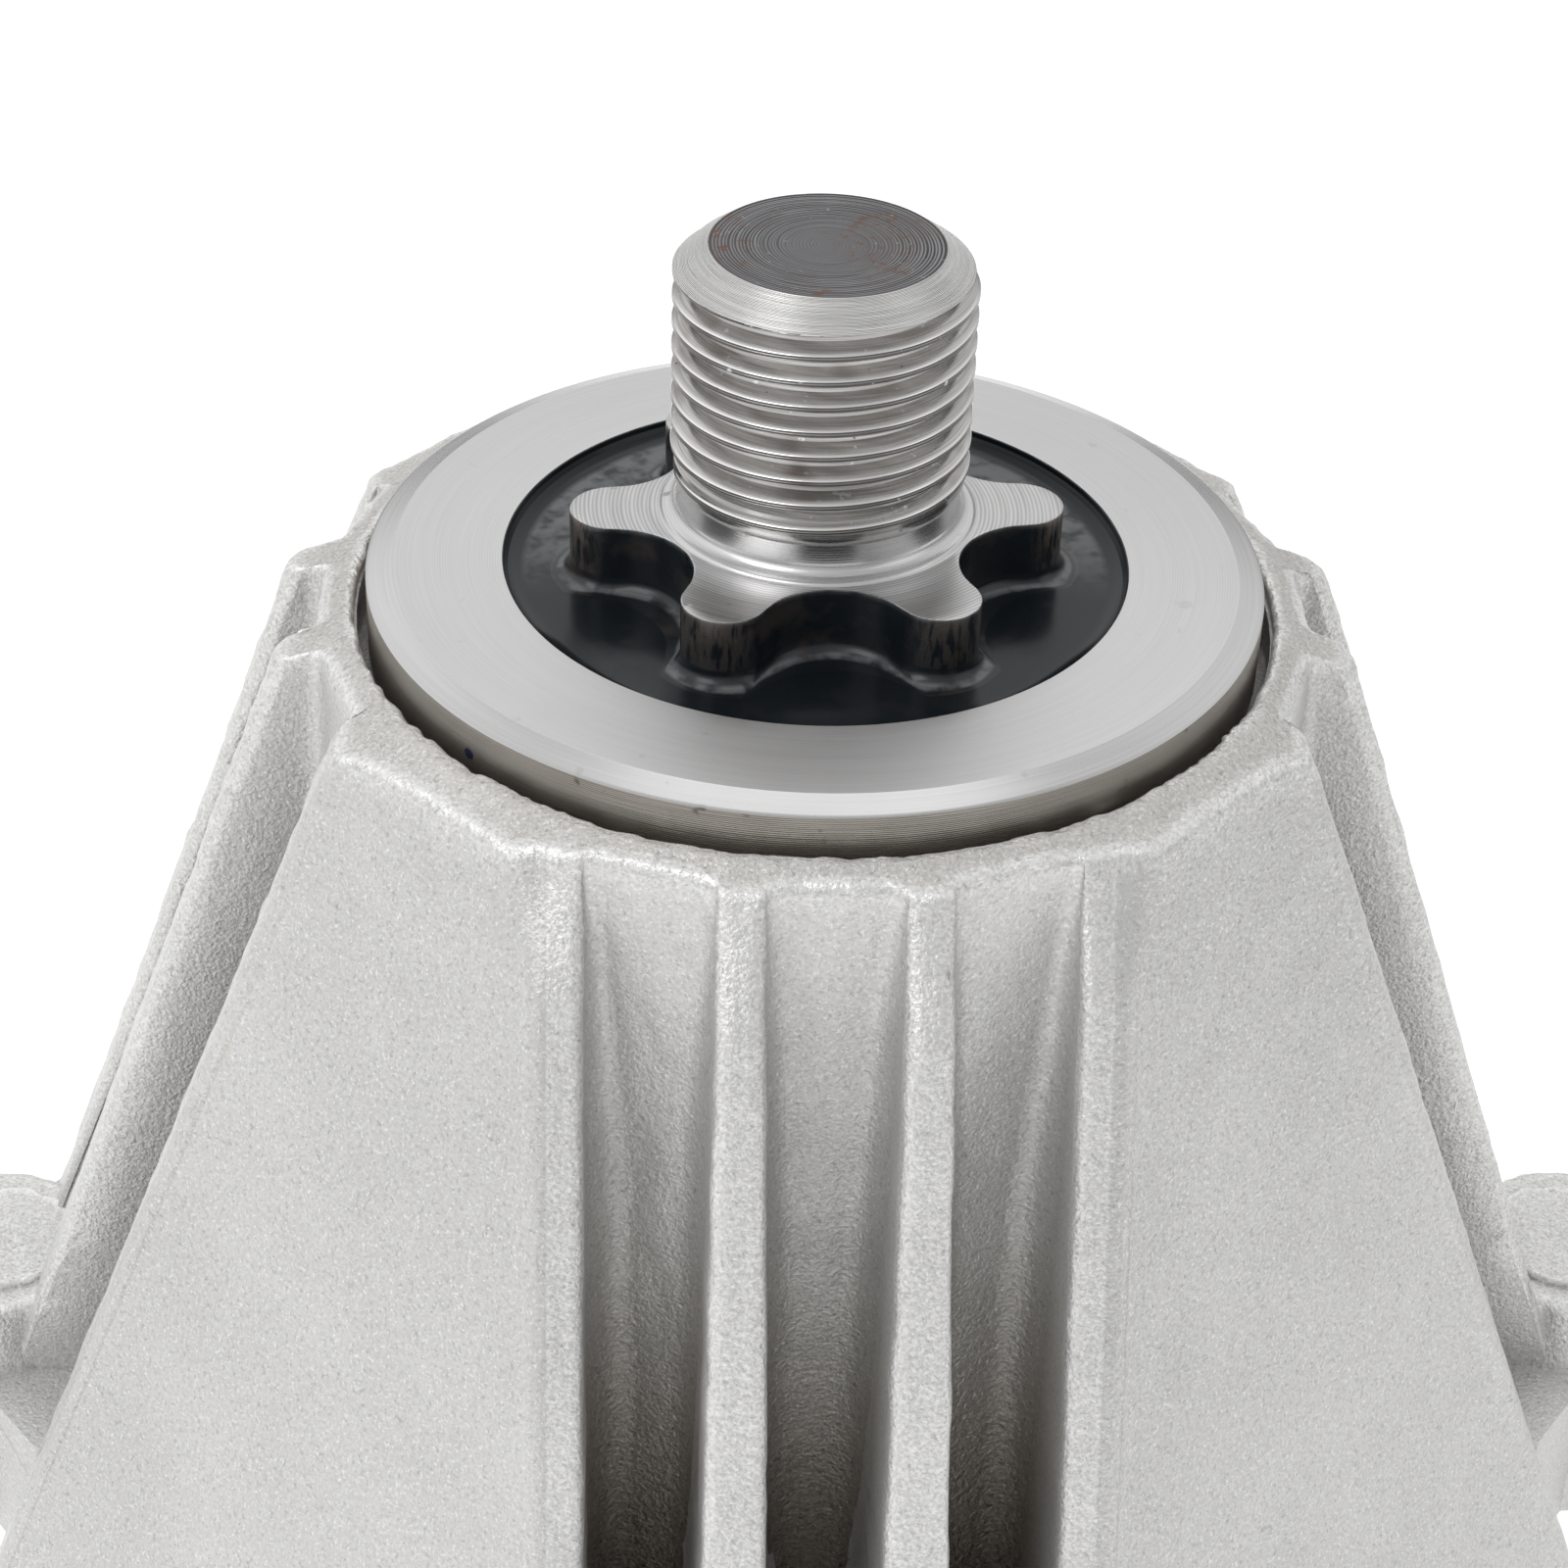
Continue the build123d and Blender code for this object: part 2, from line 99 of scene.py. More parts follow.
# Radius and height of each circle of the ear pieces, and how worn and uneven the casting is there.
BOSS_CAP = [
    (6.4, 0.3, 0), (7.66, 0.35, 0), (7.68, 4, 0.2), (7.68, 8, 0.2), (7.66, 11.5, 0.3),
    (7.5, 12.3, 0.3), (7.2, 12.85, 0.6), (7.05, 13.4, 0.6), (6.9, 14.4, 0.6), (6.78, 15.4, 0.7),
    (6.72, 15.8, 1), (6.6, 16.1, 1), (6.36, 16.3, 1), (6.05, 16.38, 1), (5.6, 16.36, 0.7),
    (4.0, 16.34, 0.6), (2.0, 16.34, 0.6), (0.4, 16.34, 0.2),
]
EJECTOR_PAD = [
    (3.9, 15.9, 0), (4.46, 16.2, 0), (4.47, 16.55, 1), (4.42, 16.78, 1.6), (4.32, 16.86, 1.6),
    (4.18, 16.82, 1.2), (3.9, 16.80, 0.7), (2.6, 16.80, 0.7), (1.2, 16.80, 0.7), (0.3, 16.80, 0.6),
]

# Height above the seat and radius of each circle between thread and star.
NECK_CIRCLES = [
    (5.4, 7.75), (5.2, 7.735), (5.08, 7.69), (4.97, 7.6), (4.86, 7.54), (4.7, 7.52), (4.2, 7.52),
    (3.8, 7.52), (3.62, 7.55), (3.46, 7.62), (3.32, 7.73), (3.22, 7.87), (3.16, 8.02),
    (3.13, 8.14), (3.12, 8.26), (3.09, 8.33), (3.03, 8.38), (2.97, 8.46),
]

# Studio, in metres: place, size and share of the key power of each lamp, then the camera.
LAMPS = {
    "key": ((-0.30, -0.28, 0.42), 0.30, 1.0),
    "fill": ((0.42, -0.16, 0.30), 0.35, 0.22),
    "top": ((0.02, 0.22, 0.5), 0.30, 0.3),
}
LAMPS_AIM = (0, 0, 0.055)
CAMERA_AT = (-0.009561, -0.156315, 0.15847)
CAMERA_TURN = (55.47608, -1.63155, -1.90737)
INK_SPOT = (-0.0180, -0.0161, 0.0637)

# Material slots of the shaft, in order.
(FACE_END, CHAMFER, THREAD, NECK, STAR_TOP, STAR_SIDE, DISC,
 FLANGE_FACE, FLANGE_BEVEL, FLANGE_SIDE, JOURNAL) = range(11)


# Numpy tools


def waves(points, size, seed, count=28):
    """Lumpy field with a spread near one over an array of points: a sum of plane waves, each a
    cosine of the point along a seeded direction over a wavelength near size."""
    rng = np.random.default_rng(seed)
    aim = rng.normal(size=(count, 3))
    aim /= np.linalg.norm(aim, axis=1, keepdims=True)
    wave = aim * (2 * np.pi / (size * rng.uniform(0.6, 1.7, (count, 1))))
    turn = rng.uniform(0, 2 * np.pi, count)
    field = np.cos(points.reshape(-1, 3) @ wave.T + turn).sum(-1) * np.sqrt(2 / count)
    return field.reshape(points.shape[:-1])


def smooth(x, low, high):
    """Soft step from 0 at low to 1 at high: three t squared minus two t cubed."""
    t = np.clip((x - low) / (high - low), 0, 1)
    return t * t * (3 - 2 * t)


def grid_normals(points):
    """Unit normals of a grid closed along its columns: the cross product of its two
    differences."""
    along = np.gradient(points, axis=0)
    around = (np.roll(points, -1, 1) - np.roll(points, 1, 1)) / 2
    normal = np.cross(around, along)
    return normal / np.maximum(np.linalg.norm(normal, axis=-1, keepdims=True), 1e-12)


def surface(name, points, poles=False, ring=False, zones=None, marks=None, crease=None,
            lengthwise=False):
    """Mesh object over a grid of points in millimetres, rows along the piece and columns round it.

    Quads join each row to the next and each column to the next with wrap-round. With poles the two
    end rows close on their mean points; with ring the last row joins the first. The faces are
    turned outwards by the sign of the enclosed volume, the sum of a . (b x c) over all triangles.
    zones gives a material index per row or per face, marks a named value per point. The map
    "round" runs round the piece, or along it when lengthwise.
    """
    rows, cols = points.shape[:2]
    last = rows if ring else rows - 1
    i, j = np.meshgrid(np.arange(last), np.arange(cols), indexing="ij")
    near, far = j % cols, (j + 1) % cols
    low, high = i * cols, ((i + 1) % rows) * cols
    quads = np.stack([low + near, low + far, high + far, high + near], -1).reshape(-1, 4)
    across = np.stack([j, j + 1, j + 1, j], -1).reshape(-1, 4)
    length = np.linalg.norm(np.diff(points, axis=0), axis=-1).max(1).cumsum()
    length = np.concatenate([[0.0], length, [length[-1]]])
    up = np.stack([length[i], length[i], length[i + 1], length[i + 1]], -1).reshape(-1, 4)
    flat = points.reshape(-1, 3)
    tris = np.zeros((0, 3), int)
    if poles:
        flat = np.concatenate([flat, points[0].mean(0)[None], points[-1].mean(0)[None]])
        k = np.arange(cols)
        top = np.stack([np.full(cols, rows * cols), (k + 1) % cols, k], -1)
        end = (rows - 1) * cols
        foot = np.stack([np.full(cols, rows * cols + 1), end + k, end + (k + 1) % cols], -1)
        tris = np.concatenate([top, foot])
    a, b, c, d = (flat[quads[:, n]] for n in range(4))
    volume = (a * np.cross(b, c)).sum() + (a * np.cross(c, d)).sum()
    if volume < 0:
        quads, tris = quads[:, ::-1], tris[:, ::-1]
        across, up = across[:, ::-1], up[:, ::-1]
    mesh = bpy.data.meshes.new(name)
    mesh.vertices.add(len(flat))
    mesh.vertices.foreach_set("co", (flat * MM).astype(np.float32).ravel())
    mesh.loops.add(quads.size + tris.size)
    corners = np.concatenate([quads.ravel(), tris.ravel()])
    mesh.loops.foreach_set("vertex_index", corners.astype(np.int32))
    starts = np.concatenate([np.arange(len(quads)) * 4, quads.size + np.arange(len(tris)) * 3])
    mesh.polygons.add(len(starts))
    mesh.polygons.foreach_set("loop_start", starts.astype(np.int32))
    mesh.polygons.foreach_set("use_smooth", np.ones(len(starts), bool))
    if zones is not None:
        index = np.broadcast_to(np.reshape(zones, (rows, -1)), (rows, cols))[:last].ravel()
        ends = np.repeat([index[0], index[-1]], len(tris) // 2)
        index = np.concatenate([index, ends]).astype(np.int32)
        mesh.polygons.foreach_set("material_index", index)
    uv = np.zeros((quads.size + tris.size, 2), np.float32)
    uv[: quads.size, int(lengthwise)] = across.ravel() / cols
    uv[: quads.size, 1 - int(lengthwise)] = up.ravel() / 100.0
    mesh.uv_layers.new(name="round").data.foreach_set("uv", uv.ravel())
    for key, value in (marks or {}).items():
        field = mesh.attributes.new(key, "FLOAT", "POINT")
        column = np.zeros(len(flat), np.float32)
        column[: rows * cols] = np.broadcast_to(value, (rows, cols)).ravel()
        field.data.foreach_set("value", column)
    mesh.update(calc_edges=True)
    mesh.validate()
    if crease:
        mesh.set_sharp_from_angle(angle=np.radians(crease))
    item = bpy.data.objects.new(name, mesh)
    bpy.context.scene.collection.objects.link(item)
    return item


# Outline of the ribbed cone


def at_depth(face, down):
    """Distance of a rib face or circle at a depth under the seat: its start plus slope times
    depth."""
    return face[0] + face[1] * down


def group_outline(z):
    """Corners of one rib group at height z, right half mirrored to the left: outward distance,
    across, radius, arc and side spans, and how far the corner may move inwards.

    Each rib face stands at its distance at the seat plus slope times depth; flute corners lie on
    the core circle. Radii shrink where a rib's wall is too short for them.
    """
    down = SEAT - z
    outer, inner = at_depth(OUTER_FACE, down), at_depth(INNER_FACE, down)
    core, near = at_depth(CORE_CIRCLE, down), at_depth(OUTER_RIB_SIDE, down)
    half = at_depth(RIB_HALF, down)
    low, high = INNER_RIB - half, INNER_RIB + half
    foot_low, foot_high, foot_near = (np.sqrt(core**2 - v**2) for v in (low, high, near))
    rise = smooth(z, FLARE - 14, RIM + 3)
    tight = min(2.05 - 1.3 * rise, 0.58 * (outer - foot_near))
    open_flute = min(2.05 - 0.9 * rise, 0.6 * (inner - foot_low))
    rib = min(np.interp(z, [0, FLARE, RIM], [0.5, 0.6, 0.75]), 0.36 * (inner - foot_low))
    small = min(np.interp(z, [0, FLARE, RIM], [0.45, 0.5, 0.33]), 0.36 * (outer - foot_near))
    right = [
        (foot_low, low, open_flute, 5, 6, 9),
        (inner, low, rib, 4, 6, 0.68),
        (inner, high, rib, 4, 6, 0.68),
        (foot_high, high, open_flute, 5, 24, 9),
        (foot_near, near, tight, 5, 6, 0.25),
        (outer, near, small, 4, 8, 0.25),
        (outer, at_depth(FAR_CORNER, down), 1.05, 6, 4, 0.68),
        (outer - 1.35, 15.45, 5.0, 7, 56, 9),
    ]
    spans = (4, 8, 6, 24, 6, 6, 6, 24)
    left = [(u, -v, r, n, m, c) for (u, v, r, n, _, c), m in zip(reversed(right), spans)]
    return left + right


def cone_outline(z, offset):
    """Closed rounded outline at height z, moved outwards by offset: points, worn mark and hollow
    mark.

    Four groups, each turned a quarter turn. Every corner is an arc of its radius tangent to its
    two sides, its centre on the bisector; moving outwards adds to a convex radius and takes from a
    concave one. Near the rim the ribs of the front and back groups sink towards the core circle,
    each point along its group's outward direction.
    """
    groups = np.array([group_outline(z)] * 4)
    spans = groups[..., 3:5].reshape(-1, 2).astype(int)
    offset = np.maximum(offset, -groups[..., 5].ravel())
    turn = np.arange(4)[:, None] * np.pi / 2
    x = groups[..., 0] * np.cos(turn) - groups[..., 1] * np.sin(turn)
    y = groups[..., 0] * np.sin(turn) + groups[..., 1] * np.cos(turn)
    here = np.stack([x, y], -1).reshape(-1, 2)
    radius = groups[..., 2].ravel()
    back = np.roll(here, 1, 0) - here
    ahead = np.roll(here, -1, 0) - here
    convex = (back[:, 1] * ahead[:, 0] - back[:, 0] * ahead[:, 1]) > 0
    back /= np.linalg.norm(back, axis=1, keepdims=True)
    ahead /= np.linalg.norm(ahead, axis=1, keepdims=True)
    half = np.arccos((back * ahead).sum(1)) / 2
    middle = back + ahead
    middle /= np.linalg.norm(middle, axis=1, keepdims=True)
    centre = here + middle * (radius / np.sin(half))[:, None]
    reach = (radius / np.tan(half))[:, None]
    scale = ((radius + np.where(convex, offset, -offset)) / radius)[:, None]
    start = centre + (here + back * reach - centre) * scale
    end = centre + (here + ahead * reach - centre) * scale
    sweep = np.pi - 2 * half

    def near_ends(t, length, fade, first, last):
        """One at the ends of a side that count, falling off along it: exp(-distance / fade)."""
        return np.exp(-t * length / fade) * first + np.exp(-(1 - t) * length / fade) * last

    points, worn, hollow = [], [], []
    for k, (n, m) in enumerate(spans):
        t = np.linspace(0, 1, n + 1)[:, None]
        a, b = start[k] - centre[k], end[k] - centre[k]
        arc = np.sin((1 - t) * sweep[k]) * a + np.sin(t * sweep[k]) * b
        points.append(centre[k] + arc / np.sin(sweep[k]))
        following = (k + 1) % len(spans)
        t = np.linspace(0, 1, m + 1)[1:-1]
        run = start[following] - end[k]
        points.append(end[k] + t[:, None] * run)
        length = np.linalg.norm(run)
        both = convex[k] and convex[following] and length < 4
        edge = near_ends(t, length, 0.35, convex[k], convex[following])
        crease = near_ends(t, length, 2.0, not convex[k], not convex[following])
        worn.append(np.full(n + 1, 0.42 * (convex[k] and radius[k] < 1)))
        worn.append(np.clip(0.2 * edge + 0.3 * both, 0, 0.42))
        hollow.append(np.full(n + 1, float(not convex[k] and radius[k] < 3)))
        hollow.append(np.clip(crease * (radius[k] < 3), 0, 1))
    points = np.concatenate(points)
    quarter = np.repeat(np.arange(4), len(points) // 4)
    c, s = np.cos(quarter * np.pi / 2), np.sin(quarter * np.pi / 2)
    u, v = points[:, 0] * c + points[:, 1] * s, points[:, 1] * c - points[:, 0] * s
    base = np.sqrt(np.clip((at_depth(CORE_CIRCLE, SEAT - z) + 0.13) ** 2 - v**2, 0, None))
    sink = 0.82 * (quarter % 2) * smooth(z, 56.5, RIM + 1.2) * smooth(-np.abs(v), -16.2, -14.3)
    u -= np.clip(u - base, 0, None) * sink
    points = np.stack([u * c - v * s, u * s + v * c], -1)
    return points, np.concatenate(worn), np.concatenate(hollow)


def cone_at(z, offset):
    """Outline points at a height for each column, linear between the outlines at the nearest two
    levels."""
    if offset not in SHEETS:
        SHEETS[offset] = np.stack([cone_outline(level, offset)[0] for level in LEVELS])
    sheets = SHEETS[offset]
    k = np.clip(np.searchsorted(LEVELS, z) - 1, 0, len(LEVELS) - 2)
    t = (z - LEVELS[k]) / (LEVELS[k + 1] - LEVELS[k])
    column = np.arange(len(z))
    return sheets[k, column] * (1 - t)[:, None] + sheets[k + 1, column] * t[:, None]


def drawn_in(points, distance):
    """Points moved a distance straight towards the axis."""
    return points * (1 - distance / np.linalg.norm(points, axis=1, keepdims=True))


def casting_skin(lift, edge, chips):
    """Closed skin over the cast cone: up the mouth wall, which narrows to the chipped lip, across
    the sloping rim, round its outer edge, down the ribs and flutes, and back inside the wall.

    Mouth rows are circles, rim rows blend from the circle to the inset outline, edge rows follow a
    quarter arc, wall rows follow the rulings. Lumpy fields then move each point along its normal.
    """
    shape, worn_col, hollow_col = cone_outline(FLARE, 0.0)
    cols = len(worn_col)
    flute_col = smooth(-np.linalg.norm(shape, axis=1), -30.6, -27.7)
    flute_col = flute_col * smooth(-np.abs(shape).min(1), -12.9, -12.3)
    # Side groups take only 0.4 of the flutes' dirt and painted shade below, being lit from the
    # side.
    flute_col = flute_col * np.where(np.abs(shape[:, 0]) > np.abs(shape[:, 1]), 0.4, 1.0)

    def over_rim(z):
        """How far the wall's points at a height stand over the sloping rim."""
        return z - (RIM - RIM_SLOPE * (np.linalg.norm(cone_at(z, lift), axis=-1) - RIM_FLAT))

    # One secant step finds where each column of the wall meets the rim.
    z_low, z_high = np.full(cols, 62.4), np.full(cols, RIM)
    miss_low, miss_high = over_rim(z_low), over_rim(z_high)
    edge_z = z_low - miss_low * (z_high - z_low) / (miss_high - miss_low) + lift
    inset = drawn_in(cone_at(edge_z, lift), edge)
    angle = np.unwrap(np.arctan2(inset[:, 1], inset[:, 0]))
    onward = (np.maximum.accumulate(angle) + np.minimum.accumulate(angle[::-1])[::-1]) / 2
    even = angle[0] + 2 * np.pi * np.arange(cols) / cols
    angle = 0.85 * onward + 0.15 * even
    ring = np.stack([np.cos(angle), np.sin(angle)], -1)
    rows, worn, dirt = [], [], []

    # shade is a row's dirt-and-shade mark: brown dirt, and painted shade where the rows below set
    # it.
    def add(xy, z, mark, shade=0.0):
        rows.append(np.concatenate([xy, np.broadcast_to(z, (cols,))[:, None]], 1))
        worn.append(np.broadcast_to(mark, (cols,)))
        dirt.append(np.broadcast_to(shade, (cols,)))

    wall, lip, round_lip, foot_z = MOUTH - 0.13, MOUTH - 0.25, 0.42, 0.35
    top_z = RIM + lift - round_lip
    for r, z in ((wall, MOUTH_FLOOR + 0.05), (wall, top_z - 1.6), (wall, top_z - 0.9),
                 (MOUTH - 0.15, top_z - 0.6), (lip + 0.05, top_z - 0.35), (lip, top_z)):
        add(ring * r, z, 0.1)
    for t in np.linspace(0, np.pi / 2, 5)[1:]:
        xy = ring * (lip + round_lip * (1 - np.cos(t)))
        add(xy, RIM + lift - round_lip * (1 - np.sin(t)), 0.35 + 0.4 * np.sin(2 * t))
    # Rim rows carry 0.28 of painted shade, which darkens the sloping rim top.
    for t in np.linspace(0, 1, 10)[1:-1]:
        xy = ring * (lip + round_lip) * (1 - t) + inset * t
        r = np.linalg.norm(xy, axis=1)
        top = RIM + lift - RIM_SLOPE * np.clip(r - RIM_FLAT, 0, None)
        add(xy, top * (1 - t**2) + edge_z * t**2, 0.12 + 0.2 * t**4, 0.28)
    crest_row = len(rows)
    for t in np.linspace(0, np.pi / 2, 8):
        z = edge_z - edge * (1 - np.cos(t))
        xy = drawn_in(cone_at(z, lift), edge * (1 - np.sin(t)))
        add(xy, z, 0.3 + 0.42 * np.sin(2 * t) ** 3)
    for t in np.linspace(0, 1, 60)[1:]:
        z = edge_z - edge - (edge_z - edge - foot_z) * t**1.4
        near_rim = np.exp(-(edge_z - edge - z) / 0.5)
        # Flutes get darker towards the bottom, brown dirt with painted shade, and where the value
        # is below zero they are lighter at middle heights, painted light. Concave corners get
        # painted shade, weaker near the rim.
        deep = np.interp(z, [8, 16, 24, 32, 40, 48, 60],
                         [1.95, 1.55, 0.75, 0.08, -0.25, -0.35, -0.45])
        shade = 0.35 * hollow_col * (1 - 0.45 * smooth(z, 40.0, 58.0)) + deep * flute_col
        add(cone_at(z, lift), z, np.maximum(worn_col, 0.4 * near_rim), shade)
    visible = len(rows)
    add(cone_at(np.full(cols, foot_z + 0.3), -0.8), foot_z + 0.3, 0.0)
    add(cone_at(np.full(cols, RIM - 1.6), -0.8), RIM - 1.6, 0.0)
    points = np.stack(rows)
    worn, dirt = np.stack(worn), np.stack(dirt)
    normal = grid_normals(points)
    broad = waves(points, 5.0, 3)
    middle = waves(points, 1.7, 4)
    fine = waves(points, 0.8, 5)
    shift = 0.024 * broad + 0.02 * middle + 0.022 * worn * fine + 0.02 * worn * middle
    crest = np.zeros(len(points))
    crest[crest_row : crest_row + 8] = [0, 0.3, 0.8, 1, 0.8, 0.4, 0.1, 0]
    rough_crest = np.clip(waves(points, 1.1, 8), -0.6, 1.4)
    shift = shift + crest[:, None] * (0.03 + 0.035 * rough_crest)
    on_lip = np.zeros(len(points))
    on_lip[4:12] = [0.4, 0.8, 1, 1, 1, 0.8, 0.5, 0.3]
    around = points.copy()
    around[..., 2] *= 0.35
    jag = 0.7 * waves(around, 1.6, 6) + 0.5 * waves(around, 0.6, 9)
    patchy = np.clip(0.5 + 0.9 * waves(around, 7.0, 7), 0.08, 2.2)
    burr = np.sign(jag) * np.clip(np.abs(jag) - 0.35, 0, None) * patchy
    shift = np.clip(shift, -0.75 * lift, 0.2)
    shift[visible:] = 0
    points = points + normal * shift[..., None]
    chipped = on_lip[:, None] * chips
    points[..., :2] -= ring[None] * (chipped * np.clip(burr, -0.5, 1.3))[..., None]
    points[..., 2] += chipped * 0.5 * np.clip(burr, -0.4, 1.2)
    return points, worn, dirt


def housing_core():
    """Copy of the solid housing drawn in under the skin: points of each rib move towards the rib's
    middle plane, points on the upper walls and on the bosses move inwards, and rim points move
    down and inwards.

    Each entry of ribs gives the rib's middle in the solid and under the skin, how far its points
    reach to either side, and the distance and height past which points count as the rib's.
    """
    wall_in, far_in, foot_in = 0.85 * MM, 0.38 * MM, 0.2 * MM
    rim_down, rim_reach = 0.8 * MM, 26.1 * MM
    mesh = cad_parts["housing"].data.copy()
    work = bmesh.new()
    work.from_mesh(mesh)
    bmesh.ops.remove_doubles(work, verts=work.verts, dist=1e-6)
    work.to_mesh(mesh)
    work.free()
    co = np.zeros(len(mesh.vertices) * 3, np.float32)
    mesh.vertices.foreach_get("co", co)
    co = co.reshape(-1, 3)
    quarter = np.round(np.arctan2(co[:, 1], co[:, 0]) / (np.pi / 2)) * np.pi / 2
    c, s = np.cos(quarter), np.sin(quarter)
    u, v, z = co[:, 0] * c + co[:, 1] * s, co[:, 1] * c - co[:, 0] * s, co[:, 2]
    boss = np.hypot(u - EAR * MM, v) < 7.85 * MM
    wall = (z > -0.01 * MM) & (np.hypot(u, v) > (MOUTH + 0.15) * MM) & ~boss
    u, v = np.where(boss, EAR * MM + 0.985 * (u - EAR * MM), u), np.where(boss, 0.985 * v, v)
    ribs = ((INNER_RIB, INNER_RIB, 2.6, 30, RIM + 9), (13.52, 13.46, 1.5, 27.9, 55))
    for middle, target, reach, past, above in ribs:
        aside = np.abs(v) - middle * MM
        on_rib = wall & (np.abs(aside) < reach * MM) & ((u > past * MM) | (z > above * MM))
        v = np.where(on_rib, np.sign(v) * (target * MM + 0.72 * aside), v)
        far = on_rib & (np.abs(v) > 14.2 * MM)
        v = np.where(far, v - np.sign(v) * far_in, v)
        u = np.where(far & (z < 30 * MM), u - foot_in, u)
    u = np.where(wall & (z > 30 * MM), u - wall_in, u)
    top = (z > (RIM - 3.6) * MM) & (np.hypot(u, v) > (MOUTH - 0.95) * MM)
    r = np.hypot(u, v)
    limit = np.where(top & wall, np.minimum(r, rim_reach), r) / np.maximum(r, MM)
    u, v, z = u * limit, v * limit, z - np.where(top, rim_down, 0.0)
    co[:, 0], co[:, 1], co[:, 2] = u * c - v * s, u * s + v * c, z
    mesh.vertices.foreach_set("co", co.ravel())
    mesh.update()
    item = bpy.data.objects.new("housing_core", mesh)
    bpy.context.scene.collection.objects.link(item)
    return item


# Turned shapes


def star_radius(angle):
    """Radius of the six-point star at an angle: a tip circle near each point, a hollow circle
    between points.

    Within the tangent angle the ray meets the tip circle at c cos a + sqrt(r^2 - c^2 sin^2 a);
    beyond it, it meets the near side of the hollow circle.
    """
    tip_r, tip_round, waist = 13.25, 2.25, 8.65
    step = np.pi / 6
    a = np.abs((angle - STAR_TURN + step) % (2 * step) - step)
    tip_at = tip_r - tip_round
    near = waist - tip_round
    hollow_at = (tip_at**2 - near**2) / (2 * (tip_at * np.cos(step) - near))
    hollow_r = hollow_at - waist
    share = tip_round / (tip_round + hollow_r)
    touch_x = tip_at + (hollow_at * np.cos(step) - tip_at) * share
    touch_y = hollow_at * np.sin(step) * share
    bound = np.arctan2(touch_y, touch_x)
    b = step - a
    tip_half = np.sqrt(np.clip(tip_round**2 - (tip_at * np.sin(a)) ** 2, 0, None))
    hollow_half = np.sqrt(np.clip(hollow_r**2 - (hollow_at * np.sin(b)) ** 2, 0, None))
    on_tip, on_hollow = tip_at * np.cos(a) + tip_half, hollow_at * np.cos(b) - hollow_half
    return np.where(a < bound, on_tip, on_hollow)


def star_outset(angle, distance):
    """Star radius moved outwards by a distance, by the slope of the outline: r plus d times sqrt(1
    + (r'/r)^2), limited where the hollows close up."""
    r = star_radius(angle)
    h = 1e-3
    slope = (star_radius(angle + h) - star_radius(angle - h)) / (2 * h)
    return r + distance * np.minimum(np.sqrt(1 + (slope / r) ** 2), 1.7)


def thread_ridge(start, low, high, fade_low, fade_high, cone, turn_steps):
    """Closed ridge of one right-hand thread: a tooth section carried along the helix from height
    low to high.

    The section has 30 degree flanks, a crest flat with a fine seam along its middle, and a foot
    sunk into the shank. Its middle stands at pitch times (angle over a full turn plus start). Its
    height eases to nothing below fade_low and above fade_high. The end cone (radius at height
    zero, slope) cuts it, and its lower crest edge slides down the flank to where flank and cone
    meet. Returns points, crest mark and the faces on the cone.
    """
    half, flank = 0.15, np.sqrt(3.0)
    foot = half + THREAD_DEPTH / flank
    first, last = ((z / PITCH - start) * turn_steps for z in (low, high))
    turns = np.arange(first, last) / turn_steps
    middle = PITCH * (turns + start)[:, None]
    fade = smooth(middle, low, fade_low) * smooth(-middle, -high, -fade_high)
    root = STUD - THREAD_DEPTH
    meet = (cone[0] + cone[1] * middle - root - foot * flank) / (flank - cone[1])
    edge = np.full_like(middle, -half)
    if cone[1] < 0:
        edge = np.clip(np.minimum(edge, meet), -foot + 0.03, None)
    on_flank = -foot + (edge + foot) * np.array([0, 0.3, 0.6, 0.85])
    crest = np.linspace(0, 1, 5)[1:-1] * (-0.03 - edge) + edge
    rise = np.array([-0.03, -0.012, 0.0, 0.02, 0.05])
    upper = [-0.02, 0.0, 0.02, 0.06, *(half - rise[::-1]), half + 0.1, half + 0.2]
    upper = np.array([*upper, foot - 0.15, foot, foot + 0.07]) + 0 * middle
    a = np.concatenate([-foot - 0.07 + 0 * middle, on_flank, edge + rise, crest + 0.03, upper], 1)
    height = np.minimum(THREAD_DEPTH, (foot - np.abs(a)) * flank)
    rounded = 0.03 * np.exp(-(((np.abs(a) - half) / 0.03) ** 2))
    seam = 0.016 * np.exp(-((a / 0.012) ** 2))
    height = np.maximum(height - (rounded + seam), -0.14)
    z = middle + a
    r = root - 0.14 + (height + 0.14) * fade
    limit = cone[0] + cone[1] * z
    on_cone = r > limit + 0.004
    r = np.where(on_cone, limit, r)
    # The crest mark paints light: one on the crest's rounded edges for a painted highlight, minus
    # one on the crest flat for a painted dark reflection, a little on the seam.
    across = [0, 0.012, 0.025, half - 0.05, half - 0.015, half + 0.012, half + 0.05, half + 0.12]
    mark = np.interp(np.abs(a), across, [0.2, 0.0, -1.0, -1.0, 0.9, 1.0, 0.45, 0.0])
    faces = ((on_cone & np.roll(on_cone, -1, 1)) | ((a > 0) & (z > SEAT + 16.93))).astype(int)
    angle = 2 * np.pi * turns[:, None]
    z = np.clip(z, -49.5, SEAT + 18.1)
    return np.stack([r * np.cos(angle), r * np.sin(angle), z], -1), mark, faces


